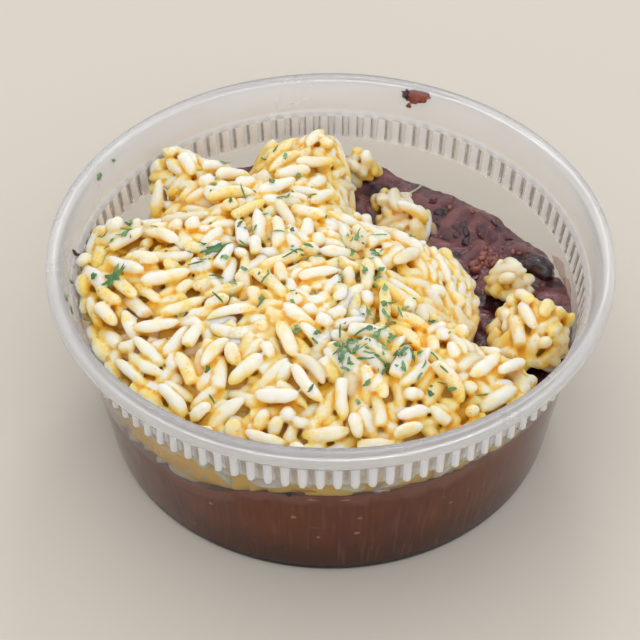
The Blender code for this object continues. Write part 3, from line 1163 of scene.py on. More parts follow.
@dataclass
class Grains:
    """Grains that have been laid: one row in each array for each grain.

    out is the way that a grain on a steep side faces, and zero for the others.
    """

    centre: Array
    turn: Array
    slope: Array
    length: Array
    width: Array
    zone: Array
    out: Array

    def picked(self, which: Array) -> "Grains":
        """The grains that a mask or list names."""
        return Grains(*(getattr(self, part.name)[which] for part in fields(self)))


@dataclass(frozen=True)
class Manner:
    """How grains are laid, until the heap is within spare of its form.

    broken and planted are the shares that are short and that stand steeply, and poke is how
    far a grain may stand above the heap's form. Wedged grains are pushed in between others.
    """

    spare: float
    broken: float
    planted: float
    poke: float
    wedged: bool = False


DROPPED = Manner(spare=0.8 * MM, broken=0.08, planted=0.04, poke=1.4 * MM)
WEDGED = Manner(spare=2.05 * MM, broken=0.12, planted=0.0, poke=1.0 * MM, wedged=True)


@dataclass
class RiceBed:
    """A height field on which grains are laid one by one, each resting on those below it."""

    tub: Tub
    step: float = 0.4 * MM
    half_span: float = 54.0 * MM
    core_depth: float = 4.4 * MM
    bedding: float = 1.0 * MM
    core_inset: float = 2.4 * MM
    profile: tuple[float, ...] = (0.78, 0.97, 1.0, 0.97, 0.78)
    tip: float = 0.8
    steepest: float = 1.9
    planted_rise: Span = (0.5, 1.7)
    short: Span = (0.36, 0.66)
    wedged_seen: float = 0.35
    wedged_held: float = 0.12
    length: Span = (8.3 * MM, 10.8 * MM)
    width: Span = (2.7 * MM, 3.4 * MM)
    sink: float = 0.3 * MM
    bundled: float = 0.55
    wedge_depth: Span = (0.1 * MM, 1.7 * MM)
    tries: int = 20
    stray_share: float = 0.05
    stray_rise: float = 1.2 * MM
    side_places: float = 2.2
    side_lean: float = 0.6
    side_room: float = 0.68
    side_bedding: float = 1.9 * MM
    side_short: float = 0.62
    side_poke: float = 0.7 * MM
    side_steep: float = 0.72
    inward: float = 0.97
    wall_reach: float = 1.2 * MM
    patience: int = 400
    cell_patience: int = 8
    into_wall: float = 0.12 * MM
    ceiling: float = CAD_BOX[1].z + 0.7 * MM
    seed: int = 11

    def __post_init__(self) -> None:
        """Reads the solids' tops into height fields."""
        self.random = np.random.default_rng(self.seed)
        reach = math.ceil(self.width[1] / 2 / self.step)
        span = np.arange(-reach, reach + 1)
        self.disc = np.stack(np.meshgrid(span, span, indexing="ij"), -1).reshape(-1, 2)
        self.axis = np.arange(-self.half_span, self.half_span + self.step / 2, self.step)
        self.x, self.y = np.meshgrid(self.axis, self.axis, indexing="ij")
        mash = self.tops("bean_mash")
        self.mash = np.where(mash < 0, MASH_LEVEL, mash)
        layers = np.array([self.tops(node) for node in RICE_NODES])
        self.zone = np.where(layers.max(0) > 0, layers.argmax(0), -1)
        self.target = np.where(self.zone >= 0, layers.max(0), self.mash)
        self.inset = self.distance_inside(self.zone == 0)
        share = smooth_step(self.core_inset * 0.75, self.core_inset * 1.6, self.inset)
        self.core = self.mash + share * np.maximum(self.target - self.core_depth - self.mash, 0)
        self.height = np.maximum(self.core - self.bedding, self.mash)
        self.lie = np.full(self.x.shape, -1.0)

    def tops(self, node: str) -> Array:
        """Heights of a solid's top over the grid, and -1 where it has none.

        Args:
            node: the solid's name.

        Returns:
            The heights.
        """
        tree = search_tree(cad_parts[node])
        low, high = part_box(node)
        heights = np.full(self.x.shape, -1.0)
        rows = np.flatnonzero((self.axis > low.x) & (self.axis < high.x))
        columns = np.flatnonzero((self.axis > low.y) & (self.axis < high.y))
        for row in rows:
            for column in columns:
                start = Vector((self.axis[row], self.axis[column], SKY))
                hit = tree.ray_cast(start, DOWN)[0]
                if hit is not None:
                    heights[row, column] = hit.z
        return heights

    def distance_inside(self, area: Array) -> Array:
        """How far each cell lies inside an area, to one step of the grid.

        Args:
            area: the cells of the area.

        Returns:
            The distance, up to 12 mm.
        """
        distance = np.zeros(area.shape)
        left = area.copy()
        for count in range(int(12 * MM / self.step)):
            distance[left] = (count + 1) * self.step
            near = np.roll(left, 1, 0) & np.roll(left, -1, 0) & left
            near &= np.roll(left, 1, 1) & np.roll(left, -1, 1)
            if count % 2:
                near &= np.roll(near, 1, 0) & np.roll(near, -1, 0)
            left = near
        return distance

    def cell(self, place: Array) -> Array:
        """Numbers of the cells that hold places."""
        found = np.rint((place + self.half_span) / self.step).astype(int)
        return np.clip(found, 0, len(self.axis) - 1)

    def trial(self, spots: Array, manner: Manner) -> dict[str, Array]:
        """Lays a grain at each of some spots, as if it were alone, and measures how it lies.

        Args:
            spots: the grains' middles seen from above, (n, 2).
            manner: how they are laid.

        Returns:
            Each grain's measures by name.
        """
        count = len(spots)
        turn = self.random.uniform(0, math.pi, count)
        near = self.cell(spots)
        beside = self.lie[near[:, 0], near[:, 1]]
        follows = (self.random.random(count) < self.bundled) & (beside >= 0)
        turn = np.where(follows, beside + self.random.normal(0, 0.2, count), turn)
        length = self.random.uniform(*self.length, count)
        width = self.random.uniform(*self.width, count)
        short = self.random.random(count) < manner.broken
        length = np.where(short, length * self.random.uniform(*self.short, count), length)
        planted = self.random.random(count) < manner.planted
        ball = width / 2
        # The grain is taken for five balls in a row, each over the ground below it.
        profile = np.array(self.profile) * ball[:, None]
        along = np.linspace(-1, 1, 5) * (length / 2 - self.tip * ball)[:, None]
        way = np.stack((np.cos(turn), np.sin(turn)), -1)
        balls = spots[:, None, :] + along[..., None] * way[:, None, :]
        cells = self.cell(balls)[:, :, None, :] + self.disc[None, None]
        cells = np.clip(cells, 0, len(self.axis) - 1)
        apart = self.axis[cells] - balls[:, :, None, :]
        room = profile[..., None] ** 2 - (apart**2).sum(-1)
        dome = np.sqrt(np.maximum(room, 0.0))
        ground = self.height[cells[..., 0], cells[..., 1]]
        support = np.where(room > 0, ground + dome, -1.0).max(-1)
        # It comes to rest on the highest line that bears on one ball of each half.
        left, right = support[:, :2], support[:, 3:]
        left_at, right_at = along[:, :2], along[:, 3:]
        run = right_at[:, None, :] - left_at[:, :, None]
        slopes = (right[:, None, :] - left[:, :, None]) / run
        middles = left[:, :, None] - slopes * left_at[:, :, None]
        middles = middles.reshape(count, -1)
        best = middles.argmax(1)
        slope = slopes.reshape(count, -1)[np.arange(count), best]
        slope = slope + self.random.normal(0, 0.12, count)
        steep = self.random.uniform(*self.planted_rise, count) * self.random.choice((-1, 1), count)
        slope = np.where(planted, slope + steep, slope)
        slope = np.clip(slope, -self.steepest, self.steepest)
        along = along / np.sqrt(1 + slope**2)[:, None]
        balls = spots[:, None, :] + along[..., None] * way[:, None, :]
        rest = support - slope[:, None] * along
        share = np.where(planted, 0.25, 0.65)
        middle = share * rest.max(1) + (1 - share) * rest.mean(1) - self.sink
        if manner.wedged:
            slope = self.fall(spots, way) + self.random.normal(0, 0.28, count)
            along = along * (1.0 / np.sqrt(1 + slope**2))[:, None]
            level = self.target[near[:, 0], near[:, 1]] - ball
            middle = level - self.random.uniform(*self.wedge_depth, count)
        lie = middle[:, None] + slope[:, None] * along
        # How close it lies, and how much of it shows or is held by its neighbours.
        covered = (room > 0).sum((1, 2))
        gap = np.where(room > 0, np.abs(lie[..., None] - dome - ground), 0.0)
        gap = gap.sum((1, 2)) / covered
        seen = np.where(room > 0, lie[..., None] + dome - ground, 0.0)
        seen_share = (seen > 0.1 * MM).sum((1, 2)) / covered
        held = (room > 0) & (ground > lie[..., None] - 0.4 * ball[:, None, None])
        held_share = held.sum((1, 2)) / covered
        if manner.wedged:
            gap = 5 * MM - np.maximum(seen, 0).sum((1, 2)) / covered
            fits = (seen_share > self.wedged_seen) & (held_share > self.wedged_held)
            middle = np.where(fits, middle, SKY)
            lie = middle[:, None] + slope[:, None] * along
        # How far it stands out of the heap's form, and of the tub or the highest level.
        own = self.cell(balls)
        over = (lie + profile - self.target[own[..., 0], own[..., 1]]).max(1)
        out = (np.hypot(balls[..., 0], balls[..., 1]) + profile - self.tub.inner_radius(lie)).max(1)
        out = np.maximum(out, (lie + profile).max(1) - self.ceiling)
        off = (self.zone[own[..., 0], own[..., 1]] < 0).sum(1)
        return {
            "x": spots[:, 0], "y": spots[:, 1], "z": middle, "turn": turn, "slope": slope,
            "length": length, "width": width, "gap": gap, "over": over, "out": out, "off": off,
        }

    def fall(self, spots: Array, way: Array) -> Array:
        """Slope of the heap's form along a direction.

        Args:
            spots: places seen from above, (n, 2).
            way: unit directions, (n, 2).

        Returns:
            The slopes, not steeper than a grain would lie.
        """
        ahead = self.sample(self.target, spots + 3 * MM * way)
        behind = self.sample(self.target, spots - 3 * MM * way)
        return np.clip((ahead - behind) / (6 * MM), -1.2, 1.2)

    def press(self, laid: dict[str, float]) -> None:
        """Raises the height field by a laid grain.

        Args:
            laid: the grain's measures.
        """
        ball = laid["width"] / 2
        reach = (laid["length"] / 2 - self.tip * ball) / math.hypot(1, laid["slope"])
        for share in np.linspace(-1, 1, 9):
            size = ball * (1.0 - 0.22 * share**4)
            across = laid["x"] + share * reach * math.cos(laid["turn"])
            place = np.array((across, laid["y"] + share * reach * math.sin(laid["turn"])))
            level = laid["z"] + share * reach * laid["slope"]
            cells = np.clip(self.cell(place)[None, :] + self.disc, 0, len(self.axis) - 1)
            room = size**2 - ((self.axis[cells] - place) ** 2).sum(-1)
            cells = cells[room > 0]
            top = level + np.sqrt(room[room > 0])
            here = self.height[cells[:, 0], cells[:, 1]]
            self.height[cells[:, 0], cells[:, 1]] = np.maximum(here, top)
            around = np.clip(self.cell(place)[None, :] + 2 * self.disc, 0, len(self.axis) - 1)
            self.lie[around[:, 0], around[:, 1]] = laid["turn"]

    def on_sides(self, node: str) -> tuple[Array, Array]:
        """Scattered places on the steep sides of a solid.

        Args:
            node: the solid's name.

        Returns:
            The places and the way that each faces.
        """
        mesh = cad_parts[node].data
        corners = np.array([corner.co for corner in mesh.vertices])
        faces = [face for face in mesh.polygons if abs(face.normal.z) < self.side_steep]
        places, ways = [], []
        for face in faces:
            shape = corners[list(face.vertices)]
            for second in range(1, len(shape) - 1):
                one, two = shape[second] - shape[0], shape[second + 1] - shape[0]
                area = np.linalg.norm(np.cross(one, two)) / 2
                count = self.random.poisson(self.side_places * area / MM**2)
                share = self.random.random((count, 2))
                share = np.where(share.sum(1, keepdims=True) > 1, 1 - share, share)
                places.append(shape[0] + share[:, :1] * one + share[:, 1:] * two)
                ways.append(np.tile(np.array(face.normal), (count, 1)))
        places, ways = np.concatenate(places), np.concatenate(ways)
        order = self.random.permutation(len(places))
        return places[order], ways[order]

    def line_sides(self) -> list[dict[str, object]]:
        """Lays grains side by side on the steep sides of the heap and the clumps.

        Returns:
            The measures of each laid grain.
        """
        rows = []
        share = np.linspace(-1, 1, 5)[:, None]
        held, held_size = np.zeros((0, 5, 3)), np.zeros(0)
        for number, node in enumerate(RICE_NODES):
            for place, way in zip(*self.on_sides(node)):
                length = self.random.uniform(*self.length)
                length *= self.random.choice((1.0, self.side_short), p=(0.8, 0.2))
                width = self.random.uniform(*self.width)
                ball = width / 2
                level = np.cross((0, 0, 1), way)
                level = level / np.linalg.norm(level)
                lean = self.random.normal(0, self.side_lean)
                ahead = math.cos(lean) * level + math.sin(lean) * np.cross(way, level)
                balls = place - way * ball + share * (length / 2 - self.tip * ball) * ahead
                from_axis = np.hypot(balls[:, 0], balls[:, 1])
                most = self.tub.inner_radius(balls[:, 2]) + self.into_wall - ball
                spare = (most - from_axis).min()
                radial = balls[2, :2] / np.hypot(*balls[2, :2])
                if number == 0 and spare < self.wall_reach or spare < 0:
                    balls[:, :2] += radial * spare
                near = self.inward * balls
                high = balls[:, 2] + ball - self.sample(self.target, near)
                low = balls[:, 2] - 0.3 * ball - self.sample(self.mash, near)
                if high.max() > self.side_poke or low.min() < -self.side_bedding:
                    continue
                apart = np.linalg.norm(held[:, :, None] - balls[None, None], axis=-1)
                room = self.side_room * (held_size + ball)
                if len(held) and (apart.min((1, 2)) < room).any():
                    continue
                held = np.concatenate((held, balls[None]))
                held_size = np.append(held_size, ball)
                slope = ahead[2] / max(np.hypot(*ahead[:2]), 0.3)
                laid = dict(zip(("x", "y", "z"), balls[2]), turn=math.atan2(ahead[1], ahead[0]))
                laid.update(slope=slope, length=length, width=width, zone=number, faces=way)
                self.press(laid)
                rows.append(laid)
        return rows

    def fill(self, manner: Manner) -> list[dict[str, float]]:
        """Lays grains where the heap is still lower than it should be.

        Args:
            manner: how they are laid.

        Returns:
            The measures of each laid grain.
        """
        rows = []
        misses = 0
        area = self.zone >= 0
        tired = np.zeros(area.shape)
        while misses < self.patience:
            wanted = area & (tired <= self.cell_patience)
            short = np.where(wanted, self.target - self.height, 0.0)
            need = np.maximum(short - manner.spare, 0.0).ravel()
            total = need.sum()
            if total <= 0:
                break
            chosen = self.random.choice(len(need), self.tries, p=need / total)
            spots = np.stack((self.x.ravel()[chosen], self.y.ravel()[chosen]), -1)
            spots = spots + self.random.uniform(-0.5, 0.5, spots.shape) * self.step
            found = self.trial(spots, manner)
            stray = self.random.random(self.tries) < self.stray_share
            limit = manner.poke + np.where(stray, self.stray_rise, 0.0)
            fits = (found["over"] < limit) & (found["out"] < -0.02 * MM) & (found["off"] <= 1)
            if not fits.any():
                misses += 1
                tired.ravel()[chosen] += 1
                continue
            score = found["gap"] + 0.5 * np.maximum(found["over"], 0)
            pick = int(np.where(fits, score, 1.0).argmin())
            laid = {name: float(values[pick]) for name, values in found.items()}
            self.press(laid)
            own = self.cell(np.array((laid["x"], laid["y"])))
            laid["zone"] = float(self.zone[own[0], own[1]])
            rows.append(laid)
            misses = 0
        return rows

    def settle(self) -> Grains:
        """Lays grains until the heap has its height.

        Returns:
            The grains.
        """
        rows = self.line_sides() + self.fill(DROPPED) + self.fill(WEDGED)
        names = ("turn", "slope", "length", "width")
        columns = [np.array([row[name] for row in rows]) for name in names]
        centre = np.array([(row["x"], row["y"], row["z"]) for row in rows])
        zone = np.array([row["zone"] for row in rows]).astype(int)
        out = np.array([row.get("faces", np.zeros(3)) for row in rows])
        LOG.info("%d grains laid", len(rows))
        return Grains(centre, *columns, zone, out)

    def sample(self, heights: Array, points: Array) -> Array:
        """Heights of a field at places between its cells.

        Args:
            heights: the field.
            points: the places, (n, 2) or (n, 3).

        Returns:
            One height for each place.
        """
        spot = (points[:, :2] + self.half_span) / self.step
        spot = np.clip(spot, 0, len(self.axis) - 1.001)
        low = spot.astype(int)
        part = spot - low
        result = np.zeros(len(points))
        for across in (0, 1):
            for along in (0, 1):
                share = np.abs(1 - across - part[:, 0]) * np.abs(1 - along - part[:, 1])
                result += share * heights[low[:, 0] + across, low[:, 1] + along]
        return result


@dataclass
class Rice:
    """The heap and the clumps of rice: loose grains over a smaller core."""

    bed: RiceBed
    grains: Grains
    rings: int = 11
    sides: int = 12
    seed: int = 29
    broken_share: float = 0.22
    voxel: float = 0.34 * MM
    kept_share: float = 0.62
    fillet_passes: int = 1
    crease_passes: int = 3
    hidden_depth: float = 2.2 * MM
    core_rise: float = 0.9 * MM
    core_step: int = 3
    core_reach: float = 0.3
    core_foot: float = 0.8 * MM
    core_least: float = 0.9 * MM
    core_passes: int = 5
    clump_core: Spot = (0.62, 0.62, 0.55)
    clump_sink: float = 0.9 * MM

    def shapes(self, grains: Grains, random: Random) -> Array:
        """Points of grains, each a little different.

        Args:
            grains: the grains.
            random: gives the differences.

        Returns:
            The points, (grain, point, 3).
        """
        count = len(grains.turn)
        station = -np.cos(np.pi * np.arange(self.rings + 2) / (self.rings + 1))[1:-1]

        def draw(low: float, high: float) -> Array:
            """One number for each grain, evenly between two."""
            return random.uniform(low, high, (count, 1, 1))

        s = station[None, :, None]
        a = even_turns(self.sides)[None, None, :]
        # How its girth falls off towards the ends, one of which may be broken off.
        blunt = draw(2.0, 3.3)
        girth = (1 - np.abs(s) ** blunt) ** 0.5
        cut = np.where(random.random((count, 1, 1)) < self.broken_share, draw(0.45, 0.8), 1.0)
        past = np.clip((s - cut) / np.maximum(1 - cut, 0.02), 0, 1)
        girth = np.where(s > cut, (1 - np.abs(cut) ** blunt) ** 0.5 * np.sqrt(1 - past**2), girth)
        s = np.where(s > cut, cut + 0.12 * (s - cut), s)
        # One end is thicker, and there is a waist, some flats, a groove and some waves.
        girth = girth * (1 + draw(-0.14, 0.14) * s)
        girth = girth * (1 - draw(0.0, 0.15) * np.exp(-((s - draw(-0.3, 0.3)) / 0.2) ** 2))
        for sides, deep in ((3, (0.01, 0.05)), (2, (0.02, 0.12))):
            girth = girth * (1 + draw(*deep) * np.cos(sides * a + draw(0, 6.28)))
        crease = np.maximum(np.cos(a - draw(0, 6.28)), 0) ** 10
        girth = girth * (1 - draw(0.03, 0.24) * crease)
        for waves, sides, deep in (((3, 6), 2, (0.02, 0.10)), ((7, 11), 3, (0.01, 0.06))):
            wobble = np.sin(s * draw(*waves) + draw(0, 6.28)) * np.cos(sides * a + draw(0, 6.28))
            girth = girth * (1 + draw(*deep) * wobble)
        half = grains.length[:, None, None] / 2
        thick = grains.width[:, None, None] / 2
        # It is bent to the side and a little downwards.
        bow = draw(-0.16, 0.16)
        sag = draw(-0.10, 0.03)
        x = s * half + 0 * a
        y = girth * thick * np.cos(a) + bow * (s**2 - 0.33) * half
        z = girth * thick * draw(0.80, 0.96) * np.sin(a) + sag * (s**2 - 0.33) * half
        body = np.stack((x, y, z), -1).reshape(count, -1, 3)
        cut, half, bow, sag = (values[:, 0, 0] for values in (cut, half, bow, sag))
        ends = []
        for reach in (-np.ones(count), np.where(cut < 1, cut + 0.12 * (1 - cut), 1.0)):
            bend = reach**2 - 0.33
            tip = np.stack((reach * half, bow * bend * half, sag * bend * half), -1)
            ends.append(tip[:, None, :])
        points = np.concatenate((body, *ends), 1)
        return self.placed(points, grains, random)

    def placed(self, points: Array, grains: Grains, random: Random) -> Array:
        """Turns and moves grains to where they lie.

        Args:
            points: the grains' points about their middles.
            grains: the grains.
            random: gives which end leads.

        Returns:
            The points in place.
        """
        count = len(grains.turn)
        flip = np.where(random.random(count) < 0.5, 0.0, math.pi)
        turn = grains.turn + flip
        pitch = np.arctan(np.where(flip > 0, -grains.slope, grains.slope))
        ahead = round_axis(np.cos(pitch), turn, np.sin(pitch))
        aside = np.stack((-np.sin(turn), np.cos(turn), np.zeros(count)), -1)
        up = np.cross(ahead, aside)
        basis = np.stack((ahead, aside, up), 1)
        return np.einsum("npk,nkj->npj", points, basis) + grains.centre[:, None, :]

    def faces(self, count: int) -> tuple[Array, Array]:
        """Faces of a number of grains.

        Args:
            count: how many grains.

        Returns:
            The quads and the triangles.
        """
        size = self.rings * self.sides + 2
        quads = ring_faces(self.rings, self.sides)[:, ::-1]
        triangles = end_caps((self.rings - 1) * self.sides, self.sides, size - 2)
        shift = (np.arange(count) * size)[:, None, None]
        return (quads + shift).reshape(-1, 4), (triangles + shift).reshape(-1, 3)

    def marks(self, points: Array, owner: Array, grains: Grains) -> dict[str, Array]:
        """The marks that the rice's material reads.

        Args:
            points: the points, (n, 3).
            owner: the grain that each belongs to.
            grains: the grains.

        Returns:
            One number for each point by name.
        """
        random = np.random.default_rng(self.seed + 1)
        # Painted golden shade and glow below the crests of the heap and on the undersides of
        # grains, over the sauce that gathers there.
        crest = self.bed.sample(self.crest, points)
        cover = self.bed.sample(self.bed.height, points)
        under = grains.centre[owner, 2] - points[:, 2]
        depth = 0.6 * (crest - points[:, 2]) + 0.6 * np.maximum(cover - points[:, 2] - 0.2 * MM, 0)
        depth = depth + 0.75 * np.clip(under, -0.8 * MM, 1.5 * MM)
        # On a steep side, the part turned into the heap gets painted shade instead.
        out = grains.out[owner]
        behind = ((grains.centre[owner] - points) * out).sum(1) + grains.width[owner] / 2
        depth = np.where((out != 0).any(1), 1.1 * behind - 0.3 * MM, depth)
        above = points[:, 2] - self.bed.sample(self.bed.mash, points)
        stain = self.stain(grains)
        tint = random.random(len(grains.turn))
        # Grains near the mash are often clear, and mash sticks to the lowest.
        low = grains.centre[:, 2] - self.bed.sample(self.bed.mash, grains.centre)
        glassy = random.random(len(tint)) < np.where(low < 6 * MM, 0.5, 0.08)
        at_side = (grains.out != 0).any(1)
        glassy = glassy & ~at_side
        return {
            "depth": np.maximum(depth, 0) / MM,
            "tint": tint[owner],
            "stain": stain[owner],
            "glassy": glassy[owner] * (0.5 + 0.5 * tint[owner]),
            "soil": np.where(at_side[owner], 0.35, 0.75) * smooth_step(2.4 * MM, 0.4 * MM, above),
        }

    def stain(self, grains: Grains) -> Array:
        """How golden each grain is, in patches.

        Args:
            grains: the grains.

        Returns:
            Numbers from 0 to 1.
        """
        patches = lumps(grains.centre, 13 * MM, 5.0) + 0.6 * lumps(grains.centre, 5 * MM, 7.0)
        stain = smooth_step(-0.25, 0.75, patches)
        stain = np.where(grains.zone == 1, np.maximum(stain, 0.55), stain)
        return np.where(grains.zone >= 3, stain * 0.5, stain)

    def build(self) -> None:
        """Makes the grains and the cores."""
        self.crest = blurred(widened(self.bed.height, 3), 3)
        self.grains = self.grains.picked(self.in_sight(self.grains))
        LOG.info("%d grains kept", len(self.grains.turn))
        material = COOKED_RICE.material()
        for number, group in enumerate(self.portions(self.grains), 1):
            piece = self.portion(f"rice_grains_{number}", self.grains.picked(group), material)
            fit_out(piece, "rice", *RICE_NODES)
        self.cores()

    def in_sight(self, grains: Grains) -> Array:
        """Which grains aren't buried under others.

        Args:
            grains: the grains.

        Returns:
            A mask.
        """
        reach = np.linspace(-0.5, 0.5, 5)[None, :] * grains.length[:, None]
        flat = reach / np.sqrt(1 + grains.slope**2)[:, None]
        way = np.stack((np.cos(grains.turn), np.sin(grains.turn)), -1)
        spots = grains.centre[:, None, :2] + flat[..., None] * way[:, None, :]
        tops = grains.centre[:, None, 2] + flat * grains.slope[:, None] + grains.width[:, None] / 2
        cover = self.bed.sample(self.bed.height, spots.reshape(-1, 2)).reshape(tops.shape)
        return ((cover - tops).min(1) < self.hidden_depth) | (grains.out != 0).any(1)

    def portions(self, grains: Grains) -> list[Array]:
        """Splits the grains into portions that lie side by side.

        Args:
            grains: the grains.

        Returns:
            The numbers of the grains in each portion.
        """
        loose = np.flatnonzero(grains.zone > 0)
        heap = np.flatnonzero(grains.zone == 0)
        heap = heap[grains.centre[heap, 0].argsort()]
        strips = np.array_split(heap, 3)
        groups = [loose]
        for strip in strips:
            strip = strip[grains.centre[strip, 1].argsort()]
            groups += np.array_split(strip, 2)
        return groups

    def portion(self, name: str, grains: Grains, material: Material) -> Piece:
        """Makes grains that stick together where they touch.

        Args:
            name: the piece's name.
            grains: its grains.
            material: its material.

        Returns:
            The piece.
        """
        random = np.random.default_rng(self.seed + len(grains.turn))
        count = len(grains.turn)
        points = self.shapes(grains, random)
        loose = new_piece(name + "_loose", points.reshape(-1, 3), list(self.faces(count)), material)
        union = loose.modifiers.new("union", "REMESH")
        union.mode = "VOXEL"
        union.voxel_size = self.voxel
        fillet = loose.modifiers.new("fillet", "SMOOTH")
        fillet.factor = 0.5
        fillet.iterations = self.fillet_passes
        lighter = loose.modifiers.new("lighter", "DECIMATE")
        lighter.ratio = self.kept_share
        depsgraph = bpy.context.evaluated_depsgraph_get()
        mesh = bpy.data.meshes.new_from_object(loose.evaluated_get(depsgraph))
        bpy.data.objects.remove(loose)
        mesh.name = name
        mesh.shade_smooth()
        mesh.materials.clear()
        mesh.materials.append(material)
        where = read_points(mesh).astype(float)
        marks = self.marks(where, self.owners(points, where), grains)
        marks["crease"] = creases(mesh, self.crease_passes) / MM
        add_marks(mesh, marks)
        return link(name, mesh)

    def owners(self, points: Array, where: Array) -> Array:
        """The grain that each point of the joined mesh belongs to.

        Args:
            points: the points of the loose grains, (grain, point, 3).
            where: the points of the joined mesh, (n, 3).

        Returns:
            The grain's number for each point.
        """
        flat = points.reshape(-1, 3)
        tree = KDTree(len(flat))
        for number, point in enumerate(flat.tolist()):
            tree.insert(point, number)
        tree.balance()
        found = np.array([tree.find(point)[1] for point in where.tolist()])
        return found // points.shape[1]

    def cores(self) -> None:
        """Makes the cores under the loose grains, each in place of its solid."""
        material = CORE_RICE.material()
        bed, step = self.bed, self.core_step
        x, y = bed.x[::step, ::step], bed.y[::step, ::step]
        inside = (bed.inset > bed.core_inset * self.core_reach)[::step, ::step]
        flat = np.stack((x.ravel(), y.ravel(), 0 * x.ravel()), -1)
        bumps = 1.0 * MM * lumps(flat, 3.4 * MM, 1.0) + 0.5 * MM * folds(flat, 2.0 * MM, 2.0)
        high = smooth_step(0.0, 2 * MM, bed.core - bed.mash) * self.core_rise
        top = (bed.core + high)[::step, ::step] + bumps.reshape(x.shape)
        bottom = bed.mash[::step, ::step] - self.core_foot
        top = np.maximum(top, bottom + self.core_least)
        points, faces = self.slab(inside, (x, y), bottom, top)
        # Painted shade and glow: deep gold on top, deeper on the underside.
        depth = np.repeat((2.0, 5.0), len(points) // 2)
        marks = {"depth": depth, "stain": np.full(len(points), 0.5)}
        heap = new_piece("rice_core_heap", points, faces, material, marks)
        rounded = bmesh.new()
        rounded.from_mesh(heap.data)
        axes = {f"use_axis_{axis}": True for axis in "xyz"}
        for _ in range(self.core_passes):
            bmesh.ops.smooth_vert(rounded, verts=rounded.verts, factor=0.5, **axes)
        rounded.to_mesh(heap.data)
        rounded.free()
        fit_out(heap, "rice", "rice_heap")
        for node in CLUMPS:
            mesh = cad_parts[node].data
            points = np.array([corner.co for corner in mesh.vertices])
            middle = points.mean(0)
            points = middle + (points - middle) * np.array(self.clump_core)
            points = points - (0, 0, self.clump_sink)
            bumps = np.stack([lumps(points, 2.2 * MM, seed) for seed in (1.0, 2.0, 3.0)], -1)
            points = points + 0.35 * MM * bumps
            faces = np.array([tuple(face.vertices) for face in mesh.polygons])
            # Painted shade and glow, deep gold all over.
            marks = {"depth": np.full(len(points), 3.0), "stain": np.full(len(points), 0.5)}
            piece = new_piece(f"rice_core_{node[5:]}", points, [faces], material, marks)
            fit_out(piece, "rice", node)

    def slab(
        self, inside: Array, place: tuple[Array, Array], bottom: Array, top: Array
    ) -> tuple[Array, list[Array]]:
        """A closed body over part of a grid.

        Args:
            inside: which cells it covers.
            place: the cells' x and y.
            bottom: the heights of its underside.
            top: the heights of its top.

        Returns:
            Its points, those of the top first, and its faces.
        """
        near, far = slice(None, -1), slice(1, None)
        windows = ((near, near), (far, near), (far, far), (near, far))
        full = np.all([inside[window] for window in windows], 0)
        number = np.full(inside.shape, -1)
        used = np.zeros(inside.shape, bool)
        for window in windows:
            used[window] |= full
        number[used] = np.arange(used.sum())
        count = int(used.sum())
        corners = [number[window] for window in windows]
        upper = np.stack([corner[full] for corner in corners], -1)
        sides = []
        ways = (((1, 0), 3, 0), ((-1, 0), 1, 2), ((0, 1), 0, 1), ((0, -1), 2, 3))
        for shift, first, second in ways:
            open_side = full & ~np.roll(full, shift, (0, 1))
            one, two = corners[first][open_side], corners[second][open_side]
            sides.append(np.stack((one, one + count, two + count, two), -1))
        flat = [axis[used] for axis in place]
        levels = [np.stack((*flat, heights[used]), -1) for heights in (top, bottom)]
        return np.concatenate(levels), [upper, upper[:, ::-1] + count, *sides]


@dataclass(frozen=True)
class Patch:
    """A patch where bits lie close together, in millimetres, and how many there are."""

    x: float
    y: float
    spread: float
    count: int

    def scatter(self, random: Random, width: float) -> Array:
        """Places over the patch, seen from above, in metres."""
        places = random.normal(0, width, (self.count, 2)) * (self.spread * MM)
        return places + (self.x * MM, self.y * MM)


@dataclass
class WholeBean:
    """A whole bean in its wet skin, half sunk in the mash."""

    half_size: Spot = (3.9 * MM, 3.0 * MM, 2.7 * MM)
    turn: float = math.radians(-31)
    tilt: float = math.radians(8)
    dent: float = 0.26
    wrinkle: float = 0.30 * MM
    rings: int = 34
    sides: int = 40

    def build(self) -> None:
        """Makes the bean, which replaces its solid."""
        points, faces = round_body(self.rings, self.sides)
        waist = np.exp(-((points[:, 0] / 0.5) ** 2)) * np.clip(-points[:, 1], 0, 1)
        points[:, 1] += self.dent * waist
        points[:, 1] -= 0.06 * points[:, 0] ** 2
        ways = points.copy()
        points = points * self.half_size
        wrinkles = folds(points * (0.5, 1.0, 1.0), 1.1 * MM, 4.0)
        wrinkles = wrinkles + 0.8 * lumps(points, 1.6 * MM, 2.0)
        points = points + ways * (self.wrinkle * wrinkles)[:, None]
        low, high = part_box("whole_bean")
        turned = Matrix.Rotation(self.turn, 4, "Z") @ Matrix.Rotation(self.tilt, 4, "Y")
        bean = Pile()
        bean.add(moved(points, Matrix.Translation((low + high) / 2) @ turned), faces, 0.75)
        bean.build("bean_whole", "bean_skin", BEAN_SKIN, "whole_bean")


